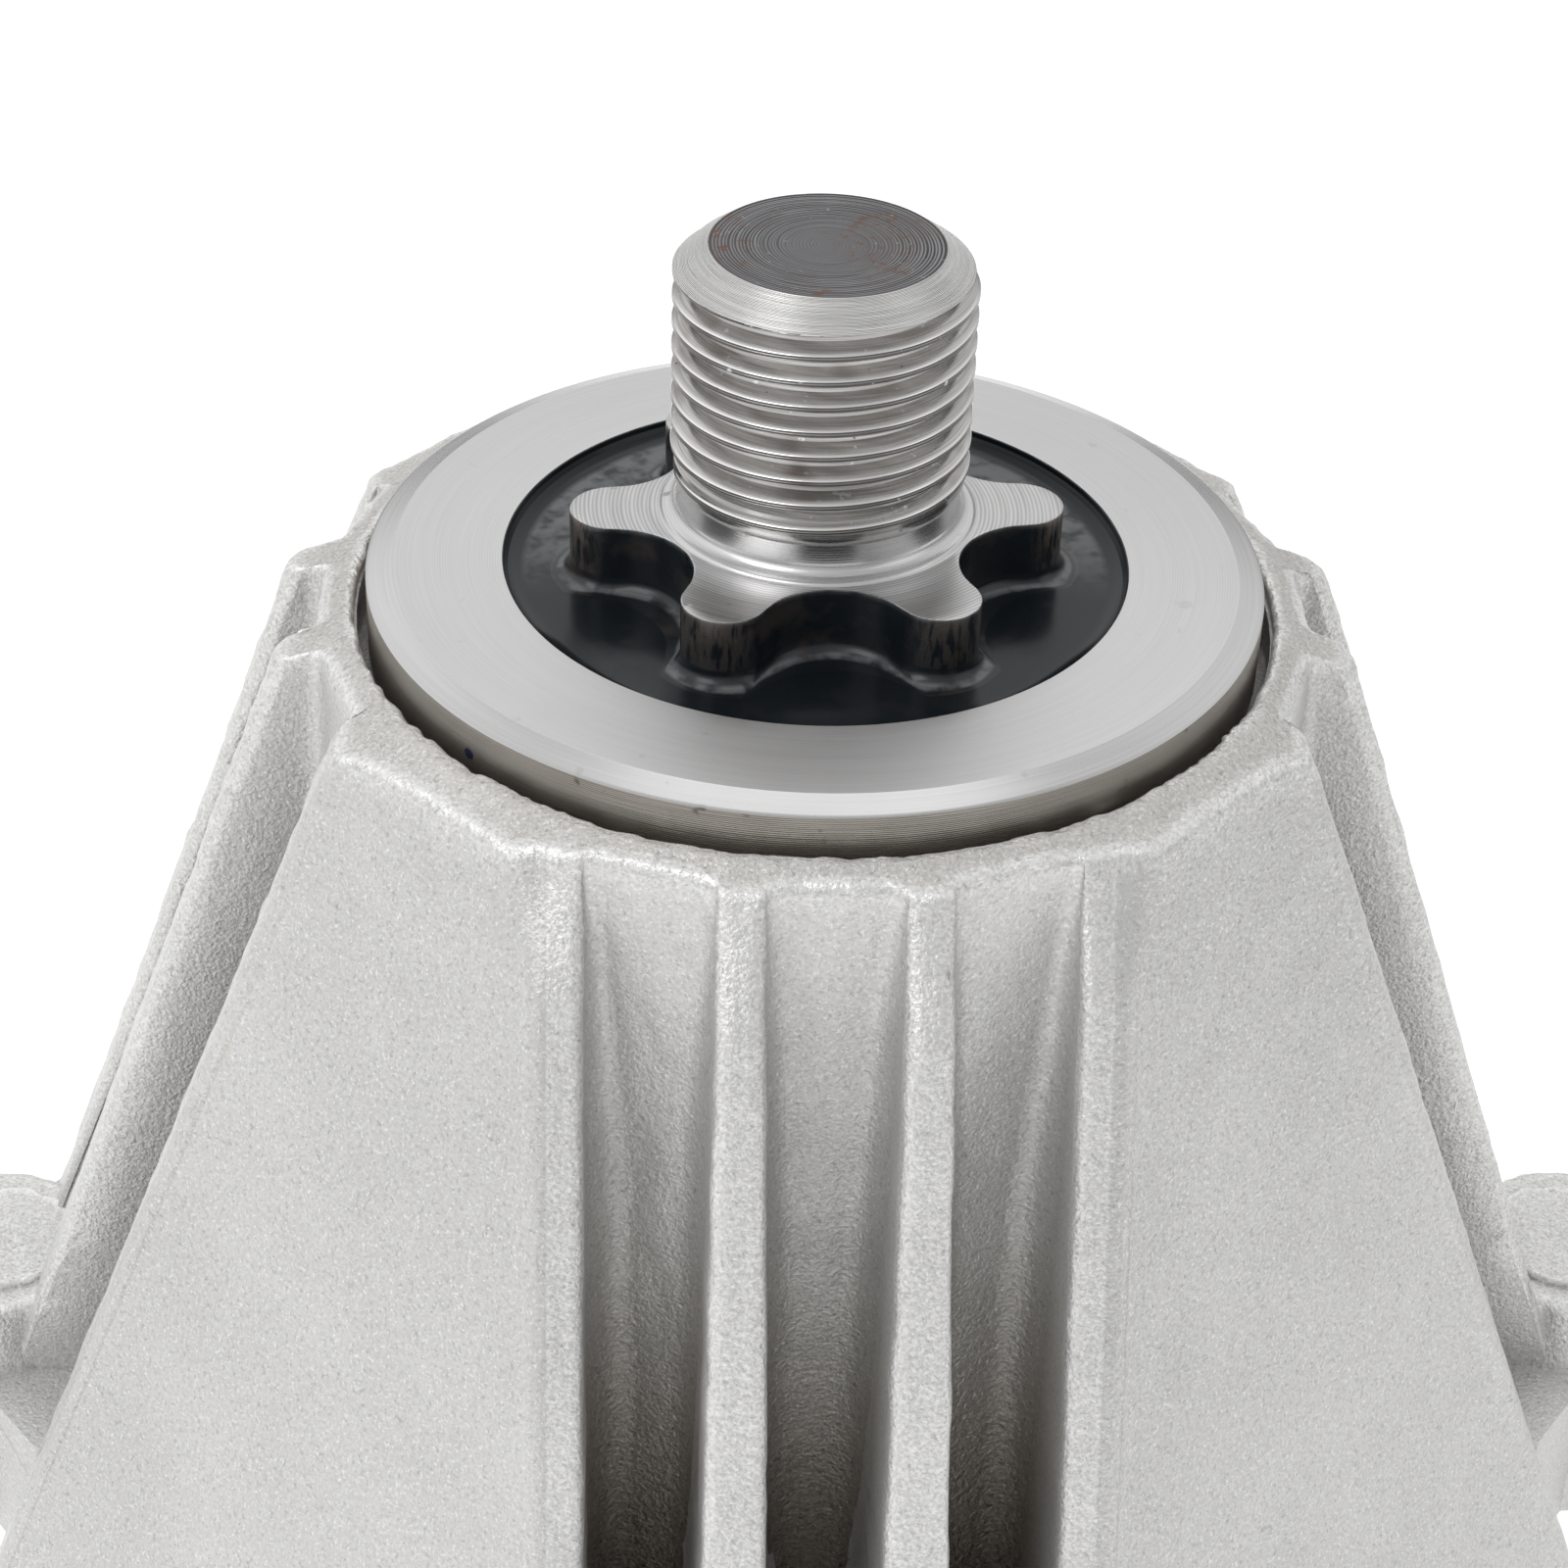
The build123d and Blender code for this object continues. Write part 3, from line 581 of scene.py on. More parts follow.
def shaft_surface(cols):
    """The whole shaft as one grid from the blade end's face to the drive end's face.

    Each row gives a radius and a height for every angle: circles on the turned zones and under the
    threads, the star outline on the star, teeth on the pulley seat. Returns points, zone per row,
    and the scuff-and-highlight and bare marks per point; the first also holds painted highlights
    on the disc and along the star's foot.
    """
    angle = np.arange(cols) * 2 * np.pi / cols
    unit = np.stack([np.cos(angle), np.sin(angle)], -1)
    rows, zones, scuffs_and_highlights, bares = [], [], [], []
    sector = np.floor((angle / (2 * np.pi) * 6 + 1.8) % 6).astype(int)
    tip_wear = np.array([0.15, 0.35, 1.0, 0.9, 0.25, 0.15])[sector]
    tip = smooth(np.cos(6 * (angle - STAR_TURN)), 0.35, 0.8) * tip_wear
    # Painted highlight: the disc's scale is paler over the half towards +y, a painted fan of sheen.
    highlight_fan = 0.7 * smooth(np.sin(angle), -0.25, 0.3)

    def add(r, z, zone, scuff_and_highlight=0.0, bare=0.0):
        r = np.broadcast_to(r, (cols,))
        rows.append(np.concatenate([unit * r[:, None], np.broadcast_to(z, (cols,))[:, None]], 1))
        zones.append(zone)
        scuffs_and_highlights.append(np.broadcast_to(scuff_and_highlight, (cols,)))
        bares.append(np.broadcast_to(bare, (cols,)))

    s = SEAT
    face_z = s + FACE_TOP
    for r in np.linspace(0.35, 5.95, 44):
        turned = smooth(r, 2.1, 2.3)
        rings = 0.010 * np.sin(2 * np.pi * r / 0.42 + 1.1 * np.sin(2.3 * r)) * turned
        grooves = 0.055 * np.exp(-(((r - 2.15) / 0.1) ** 2))
        grooves = grooves + 0.05 * np.exp(-(((r - 2.95) / 0.09) ** 2))
        strength = 0.2 + turned * (0.3 + 0.5 * smooth(r, 3.4, 3.7))
        add(r, face_z - 0.05 + rings - grooves, FACE_END, strength)
    add(6.06, face_z - 0.02, FACE_END, 1.0)
    root = STUD - THREAD_DEPTH
    for r in np.linspace(6.12, root, 7):
        add(r, s + CHAMFER_TOP - (r - 6.12) / CHAMFER_SLOPE, CHAMFER)
    for z in (17.48, 16.2, 14.0, 12.0, 10.0, 8.0, 7.0):
        add(root, s + z, THREAD)
    for z in np.linspace(6.8, 6.1, 6):
        add(root + 0.6 * smooth(-z, -6.8, -6.1), s + z, THREAD)
    for z, r in NECK_CIRCLES:
        add(r, s + z, NECK)
    outline = star_radius(angle)
    edge, neck_r = 0.12, 8.52
    for t in np.linspace(0, 1, 8):
        add(neck_r + (outline - edge - neck_r) * t, s + STAR_TOP_Z - 0.02 * t, STAR_TOP, t**6)
    add(outline - edge * 0.3, s + STAR_TOP_Z - edge * 0.35, STAR_SIDE, 0.9, tip)
    add(outline, s + STAR_TOP_Z - edge, STAR_SIDE, 0.25, tip)
    for t in (0.08, 0.2, 0.4, 0.6, 0.8, 0.95):
        add(outline, s + 2.83 + (-0.05 - 2.83) * t, STAR_SIDE, 0.0, tip * (1 - 0.6 * t))
    for t in np.linspace(0, np.pi / 2, 7):
        out = 0.8 * (1 - np.cos(t))
        # Painted highlight: a paler band along the middle of the fillet at the star's foot.
        fillet_highlight = 0.75 * smooth(t, 0.7, 1.1) * smooth(-t, -1.6, -1.25)
        add(star_outset(angle, out), s - 0.05 - 0.8 * np.sin(t), STAR_SIDE, fillet_highlight)
    foot, disc_r, disc_z = star_outset(angle, 0.8), 15.6, s - 0.86
    for t in np.linspace(0, 1, 7)[1:]:
        add(foot + (disc_r - foot) * t, disc_z, DISC, highlight_fan)
    for t in np.linspace(0, np.pi / 2, 6)[1:]:
        add(disc_r + 1.22 * np.sin(t), disc_z + 0.8 * (1 - np.cos(t)), DISC)
    # Painted highlight: a paler ring on the disc's rounded outer edge.
    add(16.84, s - 0.04, DISC, 0.6)
    add(16.88, s - 0.005, FLANGE_FACE)
    for r in np.linspace(17.0, 22.7, 8):
        add(r, s, FLANGE_FACE)
    bevel_r = 22.78
    for t in (0, 0.03, 0.12, 0.5, 0.88, 0.98):
        add(bevel_r + (FLANGE - 0.03 - bevel_r) * t, s - 0.002 - 0.49 * t, FLANGE_BEVEL)
    add(FLANGE, s - 0.52, FLANGE_SIDE)
    for z in np.linspace(0.6, 4.6, 6):
        add(FLANGE, s - z, FLANGE_SIDE)
    add(FLANGE - 0.38, s - 4.99, FLANGE_SIDE)
    for r in (23.0, 19.0, 15.0, 13.1):
        add(r, s - 5.0, FLANGE_SIDE)
    teeth = 8.5 - 0.2 * np.tanh(3.0 * np.sin(24 * angle))
    for r, z in ((13.01, 60.9), (13.01, 57.05), (12.9, 57.0), (10.1, 57.0), (10.0, 56.9),
                 (10.0, 3.0), (10.0, -13.4), (9.9, -13.58), (8.0, -13.6), (teeth, -13.7),
                 (teeth, -20.0), (teeth, -28.5), (7.9, -28.6)):
        add(r, z, JOURNAL)
    for z in (-28.8, -34.0, -40.6):
        add(STUD - 0.45, z, THREAD)
    for z in (-40.9, -44.0, -49.1):
        add(root, z, THREAD)
    add(6.7, -49.5, CHAMFER)
    for r in (6.6, 5.0, 3.0, 1.0, 0.4):
        add(r, -49.59, FACE_END)
    return np.stack(rows), zones, np.stack(scuffs_and_highlights), np.stack(bares)


def turned_profile(profile, cols, centre=(0.0, 0.0), wobble=0.0, seed=1):
    """Surface of revolution: each (r, z) pair becomes a circle about the centre, its radius and
    height shaken by a lumpy field times the pair's own weight."""
    data = np.array(profile, float)
    angle = np.arange(cols) * 2 * np.pi / cols
    r, z, weight = (data[:, k][:, None] for k in range(3))
    round_ = np.stack([r * np.cos(angle), r * np.sin(angle), z + 0 * angle], -1)
    shake = waves(round_ + np.array([*centre, 0.0]), 1.3, seed) * weight * wobble
    x = centre[0] + (r + shake) * np.cos(angle)
    y = centre[1] + (r + shake) * np.sin(angle)
    return np.stack([x, y, z + shake * 0.5], -1)


# Shader tools


class Graph:
    """Short way to write a node tree: add nodes, set inputs and link them."""

    def __init__(self, tree):
        self.tree = tree

    def fill(self, node, inputs):
        """Links or sets a node's inputs, by name, or by place as i0, i1 and so on."""
        for key, value in inputs.items():
            name = key.replace("_", " ")
            by_place = name[0] == "i" and name[1:].isdigit()
            socket = node.inputs[int(name[1:]) if by_place else name]
            if isinstance(value, bpy.types.NodeSocket):
                self.tree.links.new(value, socket)
            else:
                socket.default_value = value

    def node(self, kind, out=0, settings=None, **inputs):
        """Adds a node with its settings and inputs, and gives back one of its outputs."""
        n = self.tree.nodes.new(kind)
        for key, value in (settings or {}).items():
            setattr(n, key, value)
        self.fill(n, inputs)
        return n.outputs[out]

    def math(self, operation, a, b=0.5, clamp=False):
        """One Math node."""
        settings = {"operation": operation, "use_clamp": clamp}
        return self.node("ShaderNodeMath", settings=settings, i0=a, i1=b)

    def add(self, a, b, clamp=False):
        """Sum of two values."""
        return self.math("ADD", a, b, clamp=clamp)

    def sub(self, a, b, clamp=False):
        """First value less the second."""
        return self.math("SUBTRACT", a, b, clamp=clamp)

    def mul(self, a, b, clamp=False):
        """Product of two values."""
        return self.math("MULTIPLY", a, b, clamp=clamp)

    def place(self):
        """Object coordinates."""
        return self.node("ShaderNodeTexCoord", out=3)

    def mark(self, name):
        """A value that the mesh holds per point."""
        return self.node("ShaderNodeAttribute", out=2, settings={"attribute_name": name})

    def round_tangent(self):
        """Tangent along the map that runs round a piece."""
        settings = {"direction_type": "UV_MAP", "uv_map": "round"}
        return self.node("ShaderNodeTangent", settings=settings)

    def turning(self, fineness, breaks, ridge=None):
        """Outputs of the shared turning-line group; ridge is the pitch of the tool's ridges in
        millimetres."""
        more = {"Ridge": 2 * np.pi / (ridge * MM)} if ridge else {}
        return self.group(lines_group(), Fineness=fineness, Break=breaks, **more)

    def group(self, tree, **inputs):
        """Outputs of one instance of a shader group."""
        return self.node("ShaderNodeGroup", settings={"node_tree": tree}, **inputs).node.outputs

    def noise(self, vector, scale, detail=2.0, rough=0.5):
        """One Noise node, its value."""
        return self.node("ShaderNodeTexNoise", Vector=vector, Scale=scale, Detail=detail,
                         Roughness=rough)

    def ramp(self, value, low, high, a=0.0, b=1.0):
        """Smooth step of a value from low to high, between a and b."""
        settings = {"interpolation_type": "SMOOTHSTEP"}
        return self.node("ShaderNodeMapRange", settings=settings, Value=value, From_Min=low,
                         From_Max=high, To_Min=a, To_Max=b)

    def scaled(self, vector, scale):
        """Vector or colour times a value."""
        settings = {"operation": "SCALE"}
        return self.node("ShaderNodeVectorMath", settings=settings, i0=vector, Scale=scale)

    def mix(self, factor, a, b):
        """Colour mix."""
        settings = {"data_type": "RGBA"}
        return self.node("ShaderNodeMix", out=2, settings=settings, i0=factor, i6=a, i7=b)


def shader_group(name, outputs, inputs, build):
    """Node group with value and colour inputs and the named outputs, filled by build(graph,
    inputs)."""
    group = bpy.data.node_groups.new(name, "ShaderNodeTree")
    for key, default in inputs.items():
        kind = "NodeSocketColor" if isinstance(default, tuple) else "NodeSocketFloat"
        socket = group.interface.new_socket(name=key, in_out="INPUT", socket_type=kind)
        socket.default_value = default
    for key, kind in outputs.items():
        group.interface.new_socket(name=key, in_out="OUTPUT", socket_type=kind)
    graph = Graph(group)
    entry = group.nodes.new("NodeGroupInput")
    leave = group.nodes.new("NodeGroupOutput")
    results = build(graph, {key: entry.outputs[key] for key in inputs})
    for key, socket in results.items():
        group.links.new(socket, leave.inputs[key])
    return group


def cast_grain(g, inputs):
    """Sand-like cast skin: fine and middling grain, sparkling grains, soft blotches, coarser grain
    in the hollows, bright worn edges, and a darker, warmer tone where the dirt-and-shade mark
    stands: brown dirt and painted shade."""
    place = g.place()
    grain = g.noise(place, 4600.0, 2.0, 0.6)
    coarse = g.noise(place, 2300.0, 2.0, 0.55)
    blotch = g.noise(place, 95.0, 3.0, 0.55)
    patch = g.noise(place, 26.0, 2.0, 0.5)
    sparkle = g.add(g.noise(place, 5200.0, 1.0, 0.5), g.mul(inputs["Worn"], 0.14))
    speck = g.ramp(sparkle, 0.60, 0.72)
    dark = g.ramp(g.noise(place, 3100.0, 2.0, 0.6), 0.44, 0.30)
    ragged = g.add(inputs["Worn"], g.mul(g.noise(place, 1900.0, 3.0, 0.65), 1.5))
    edge = g.ramp(ragged, 1.28, 1.62)
    raised = g.mul(inputs["Worn"], 0.35)
    strength = g.add(0.46, g.mul(inputs["Worn"], 1.1))
    tone = g.add(g.mul(g.sub(grain, 0.5), strength), g.mul(blotch, 0.16))
    tone = g.add(tone, g.mul(patch, 0.14))
    tone = g.add(tone, g.add(raised, 0.86))
    tone = g.sub(tone, g.mul(dark, 0.20))
    # The dirt-and-shade mark darkens and warms the tone: dirt, and painted shade in flutes, corners
    # and on the rim; below zero it lightens, painted light.
    tone = g.sub(tone, g.mul(inputs["Dirt"], 0.38))
    warm = g.mix(g.mul(inputs["Dirt"], 0.6, clamp=True), inputs["Base"], (0.69, 0.62, 0.53, 1))
    shade = g.scaled(warm, tone)
    shine = g.sub(0.6, g.mul(inputs["Dirt"], 0.3))
    lit = g.mix(g.mul(speck, shine), shade, inputs["Bright"])
    colour = g.mix(g.mul(edge, 0.7), lit, inputs["Bright"])
    rough = g.add(0.60, g.mul(grain, -0.2))
    rough = g.sub(rough, g.mul(edge, 0.14), clamp=True)
    swell = g.add(0.5, g.add(inputs["Dirt"], inputs["Worn"]))
    height = g.add(g.mul(grain, 0.45), g.mul(coarse, swell))
    return {"Colour": colour, "Roughness": rough, "Height": height}


def lathe_lines(g, inputs):
    """Fine turning lines round the axis: noise over the direction from the axis and over radius
    less 1.37 times height, with sine ridges along the same measure."""
    place = g.place()
    parts = g.node("ShaderNodeSeparateXYZ", Vector=place).node
    x, y, z = parts.outputs
    r = g.math("SQRT", g.add(g.mul(x, x), g.mul(y, y)))
    safe = g.math("MAXIMUM", r, 0.0002)
    along = g.sub(r, g.mul(z, 1.37))
    across = g.mul(along, inputs["Fineness"])
    dx = g.mul(g.math("DIVIDE", x, safe), inputs["Break"])
    dy = g.mul(g.math("DIVIDE", y, safe), inputs["Break"])
    field = g.node("ShaderNodeCombineXYZ", X=dx, Y=dy, Z=across)
    fine = g.noise(field, 1.0, 2.0, 0.6)
    sway = g.mul(fine, 5.0)
    ridges = g.math("SINE", g.add(g.mul(along, inputs["Ridge"]), sway))
    ridges = g.add(g.mul(ridges, 0.5), 0.5)
    wide = g.noise(g.scaled(field, 0.23), 1.0, 2.0, 0.5)
    spots = g.noise(place, 700.0, 2.0, 0.6)
    grime = g.noise(place, 120.0, 3.0, 0.6)
    lines = g.add(g.mul(fine, 0.8), g.mul(wide, 0.2))
    return {"Lines": lines, "Ridges": ridges, "Spots": spots, "Grime": grime}


def principled(name, look, depth, strength=1.0):
    """Material with one Principled shader. look(graph) gives the shader's inputs, linked or plain,
    and as Height the height of its bump, which is depth metres deep."""
    material = bpy.data.materials.new(name)
    material.use_nodes = True
    graph = Graph(material.node_tree)
    parts = look(graph)
    parts["Normal"] = graph.node("ShaderNodeBump", Height=parts.pop("Height"), Strength=strength,
                                 Distance=depth)
    graph.fill(material.node_tree.nodes["Principled BSDF"], parts)
    return material


def cast_material(settings):
    """Die-cast aluminium."""
    group = shader_group(
        "cast_grain",
        {"Colour": "NodeSocketColor", "Roughness": "NodeSocketFloat", "Height": "NodeSocketFloat"},
        {"Worn": 0.0, "Dirt": 0.0, "Base": (0.6, 0.6, 0.6, 1), "Bright": (0.9, 0.9, 0.9, 1)},
        cast_grain,
    )

    def look(g):
        out = g.group(group, Worn=g.mark("worn"), Dirt=g.mark("dirt"),
                      Base=settings.cast_colour, Bright=settings.worn_colour)
        return {"Base Color": out["Colour"], "Roughness": out["Roughness"], "Metallic": 0.7,
                "Height": out["Height"]}

    return principled("die_cast_skin", look, settings.grain_height)


def steel_material(name, tone, dark, rough, fineness, relief=1.0, spread=0.35, aniso=0.0,
                   specks=0.0, ridge=0.3, ridge_share=0.0, broken=1.6):
    """Turned steel: a tone that varies with the turning lines, dark specks where asked, stretched
    gloss.

    relief is the height of the lines in micrometres, ridge the pitch of the tool's own ridges in
    millimetres, ridge_share how much of the lines they are, broken how often the lines break.
    """

    def look(g):
        out = g.turning(fineness, broken, ridge)
        height = g.node("ShaderNodeMix", Factor=ridge_share, A=out["Lines"], B=out["Ridges"])
        tint = g.ramp(height, 0.5 - spread / 2, 0.5 + spread / 2)
        colour = g.mix(tint, dark, tone)
        if specks:
            pit = g.ramp(out["Spots"], 0.31, 0.25)
            colour = g.mix(g.mul(pit, specks), colour, (0.10, 0.07, 0.055, 1))
        roughness = g.add(g.mul(out["Lines"], 0.08), g.mul(out["Grime"], 0.10))
        roughness = g.add(roughness, rough - 0.09, clamp=True)
        parts = {"Base Color": colour, "Roughness": roughness, "Metallic": 1.0, "Height": height}
        if aniso:
            parts |= {"Anisotropic": aniso, "Tangent": g.round_tangent()}
        return parts

    return principled(name, look, relief * 1e-6)


def dark_material(name, colour, rough, brown, relief=6.0, gloss=0.5):
    """Blue-black heat scale with a gloss: paler where the scuff-and-highlight mark stands, scuffs
    and painted highlights, bare brown steel where the bare mark stands, brown bloom in patches."""

    def look(g):
        out = g.turning(1700.0, 3.0)
        place = g.place()
        patch = g.ramp(g.noise(place, 260.0, 3.0, 0.65), 0.52, 0.68)
        tall = g.node("ShaderNodeMapping", Vector=place, Scale=(1.0, 1.0, 0.22))
        streak = g.ramp(g.noise(tall, 2600.0, 2.0, 0.6), 0.38, 0.55)
        scratch = g.ramp(g.noise(place, 900.0, 2.0, 0.5), 0.25, 0.6)
        # Pale where the scuff-and-highlight mark stands: scuffs on the star's edges, and painted
        # highlights on the disc and along the star's foot.
        worn = g.mul(g.mark("scuff_and_highlight"), scratch, clamp=True)
        rubbed = g.mul(g.mark("bare"), streak, clamp=True)
        bloom = g.mix(g.mul(patch, brown), colour, (0.07, 0.05, 0.04, 1))
        shown = g.mix(worn, bloom, (0.17, 0.18, 0.185, 1))
        shown = g.mix(rubbed, shown, (0.42, 0.345, 0.29, 1))
        roughness = g.add(g.mul(out["Lines"], 0.12), rough)
        roughness = g.add(roughness, g.mul(patch, 0.08), clamp=True)
        metal = g.add(0.1, g.mul(rubbed, 0.85), clamp=True)
        return {"Base Color": shown, "Roughness": roughness, "Metallic": metal,
                "Specular IOR Level": gloss, "Height": out["Lines"]}

    return principled(name, look, relief * 1e-6)


def thread_material():
    """Rolled thread: darker grey flanks with fine lines, in part painted shade of the grooves,
    brown stains and a few black specks, painted highlights on the crest edges where the crest mark
    is one, and a painted dark reflection on the crest flats where it is minus one."""

    def look(g):
        out = g.turning(7000.0, 1.4)
        crest = g.mark("crest")
        lines = g.ramp(out["Lines"], 0.35, 0.65)
        # Flank grey, darker than the shaft's steel, in part painted shade of the grooves.
        colour = g.mix(lines, (0.34, 0.33, 0.32, 1), (0.50, 0.49, 0.48, 1))
        stain = g.ramp(out["Grime"], 0.50, 0.64)
        colour = g.mix(g.mul(stain, 0.5), colour, (0.14, 0.11, 0.09, 1))
        # Painted dark reflection on the crest flats, then painted highlight on the crest edges.
        colour = g.mix(g.mul(crest, -0.85, clamp=True), colour, (0.035, 0.032, 0.03, 1))
        colour = g.mix(g.mul(crest, 0.95, clamp=True), colour, (0.92, 0.915, 0.91, 1))
        place = g.place()
        pit = g.ramp(g.noise(place, 1900.0, 1.0, 0.5), 0.22, 0.18)
        colour = g.mix(g.mul(pit, 0.9), colour, (0.05, 0.04, 0.035, 1))
        nick = g.ramp(g.noise(place, 1400.0, 2.0, 0.6), 0.68, 0.74)
        colour = g.mix(g.mul(nick, 0.6), colour, (0.8, 0.8, 0.8, 1))
        roughness = g.sub(0.24, g.mul(out["Grime"], 0.12))
        height = g.sub(out["Lines"], g.mul(pit, 1.5))
        return {"Base Color": colour, "Roughness": roughness, "Metallic": 1.0, "Height": height}

    return principled("thread_steel", look, 0.003 * MM)


def side_material():
    """Flange rim: brownish turned steel with level tool lines, lighter below its upper edge as
    painted light that offsets the shade near the lip, and one small dot of blue marking ink."""

    def look(g):
        out = g.turning(6500.0, 2.2, 0.16)
        height = g.node("ShaderNodeMix", Factor=0.5, A=out["Lines"], B=out["Ridges"])
        lines = g.ramp(height, 0.25, 0.75)
        colour = g.mix(lines, (0.25, 0.23, 0.205, 1), (0.42, 0.395, 0.365, 1))
        spots = g.ramp(out["Spots"], 0.33, 0.26)
        colour = g.mix(g.mul(spots, 0.7), colour, (0.10, 0.08, 0.065, 1))
        place = g.place()
        height_z = g.node("ShaderNodeSeparateXYZ", out=2, Vector=place)
        # Painted light: paler below the upper edge, against the shade near the lip.
        painted_light_band = g.mul(g.ramp(height_z, (SEAT - 0.8) * MM, (SEAT - 2.8) * MM), 0.6)
        colour = g.mix(painted_light_band, colour, (0.66, 0.62, 0.57, 1))
        away = g.node("ShaderNodeVectorMath", out=1, settings={"operation": "DISTANCE"},
                      i0=place, i1=INK_SPOT)
        ragged = g.add(away, g.mul(g.noise(place, 2500.0), 0.0004))
        dot = g.ramp(ragged, 0.00062, 0.00048)
        colour = g.mix(g.mul(dot, 0.85), colour, (0.02, 0.03, 0.22, 1))
        roughness = g.add(g.mul(out["Grime"], 0.12), 0.33)
        return {"Base Color": colour, "Roughness": roughness, "Metallic": 1.0, "Height": height,
                "Anisotropic": 0.4, "Tangent": g.round_tangent()}

    return principled("flange_side_steel", look, 0.014 * MM)


def end_face_material():
    """Dark sawn and faced end: grey with concentric tool rings as strong as the scuff-and-highlight
    mark, rust specks and a few bright grains."""

    def look(g):
        out = g.turning(5200.0, 0.7, 0.18)
        cut = g.mark("scuff_and_highlight")
        lines = g.node("ShaderNodeMix", Factor=0.45, A=out["Lines"], B=out["Ridges"])
        ring = g.mul(g.sub(g.ramp(lines, 0.42, 0.58), 0.5), cut)
        colour = g.mix(g.add(ring, 0.5), (0.03, 0.029, 0.032, 1), (0.24, 0.237, 0.246, 1))
        place = g.place()
        rust = g.ramp(g.noise(place, 1500.0, 3.0, 0.65), 0.56, 0.64)
        zone = g.ramp(out["Grime"], 0.42, 0.56)
        pale = g.ramp(g.noise(place, 2100.0, 2.0, 0.6), 0.66, 0.74)
        colour = g.mix(g.mul(zone, 0.35), colour, (0.13, 0.115, 0.11, 1))
        colour = g.mix(g.mul(rust, g.mul(zone, 0.8)), colour, (0.14, 0.06, 0.035, 1))
        colour = g.mix(g.mul(pale, 0.5), colour, (0.42, 0.42, 0.42, 1))
        roughness = g.add(0.34, g.mul(out["Grime"], 0.2))
        height = g.mul(lines, g.add(g.mul(cut, 0.9), 0.1))
        return {"Base Color": colour, "Roughness": roughness, "Metallic": 0.7, "Height": height}

    return principled("faced_end", look, 0.022 * MM)


def rubber_material():
    """Moulded black seal rubber with faint mould grain and a dusty bloom."""

    def look(g):
        place = g.place()
        grain = g.noise(place, 2600.0, 2.0, 0.6)
        dust = g.ramp(g.noise(place, 180.0, 3.0, 0.6), 0.45, 0.75)
        colour = g.mix(g.mul(dust, 0.5), (0.012, 0.012, 0.013, 1), (0.045, 0.043, 0.042, 1))
        roughness = g.add(0.5, g.mul(grain, 0.2))
        return {"Base Color": colour, "Roughness": roughness, "Height": grain}

    return principled("seal_rubber", look, 0.05 * MM, strength=0.3)


def zinc_material(name, tone):
    """Zinc-plated steel: pale blue-grey with a faint spangle and small marks."""

    def look(g):
        out = g.turning(900.0, 2.0)
        place = g.place()
        spangle = g.noise(place, 420.0, 2.0, 0.5)
        dark = tuple(0.72 * c for c in tone[:3]) + (1,)
        colour = g.mix(g.ramp(spangle, 0.35, 0.65), dark, tone)
        mark = g.ramp(out["Spots"], 0.30, 0.24)
        colour = g.mix(g.mul(mark, 0.6), colour, (0.2, 0.18, 0.15, 1))
        roughness = g.add(0.24, g.mul(spangle, 0.16))
        return {"Base Color": colour, "Roughness": roughness, "Metallic": 1.0, "Height": spangle}

    return principled(name, look, 0.06 * MM, strength=0.12)


def dress(node, material):
    """Gives a CAD node one material."""
    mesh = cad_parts[node].data
    mesh.materials.clear()
    mesh.materials.append(material)


def lines_group():
    """The shared turning-line group, made once."""
    found = bpy.data.node_groups.get("lathe_lines")
    return found or shader_group(
        "lathe_lines",
        {key: "NodeSocketFloat" for key in ("Lines", "Ridges", "Spots", "Grime")},
        {"Fineness": 6000.0, "Break": 1.6, "Ridge": 19000.0},
        lathe_lines,
    )


# Settings


class CastingSettings(bpy.types.PropertyGroup):
    """Sizes and colours of the casting."""

    lift: bpy.props.FloatProperty(
        name="Skin lift", description="How far the skin stands off the solid",
        default=0.13 * MM, unit="LENGTH", precision=6,
    )
    edge: bpy.props.FloatProperty(
        name="Rim edge", description="Radius of the rim's edges",
        default=0.6 * MM, unit="LENGTH", precision=6,
    )
    chips: bpy.props.FloatProperty(
        name="Lip chips", description="Depth of the chips and flash on the mouth's lip",
        default=0.07 * MM, unit="LENGTH", precision=6,
    )
    grain_height: bpy.props.FloatProperty(
        name="Grain height", description="Height of the cast grain",
        default=0.10 * MM, unit="LENGTH", precision=6,
    )
    cast_colour: bpy.props.FloatVectorProperty(
        name="Cast colour", description="Plain cast skin",
        default=(0.64, 0.635, 0.625, 1.0), size=4, subtype="COLOR",
    )
    worn_colour: bpy.props.FloatVectorProperty(
        name="Worn colour", description="Bright edges and specks",
        default=(0.93, 0.93, 0.91, 1.0), size=4, subtype="COLOR",
    )


class ShaftSettings(bpy.types.PropertyGroup):
    """Sizes and colours of the shaft."""

    columns: bpy.props.IntProperty(
        name="Columns", description="Points round the shaft", default=336, min=96, max=720
    )
    steel_colour: bpy.props.FloatVectorProperty(
        name="Steel", description="Freshly turned steel",
        default=(0.66, 0.655, 0.655, 1.0), size=4, subtype="COLOR",
    )
    scale_colour: bpy.props.FloatVectorProperty(
        name="Scale", description="Blue-black forging scale",
        default=(0.007, 0.010, 0.013, 1.0), size=4, subtype="COLOR",
    )


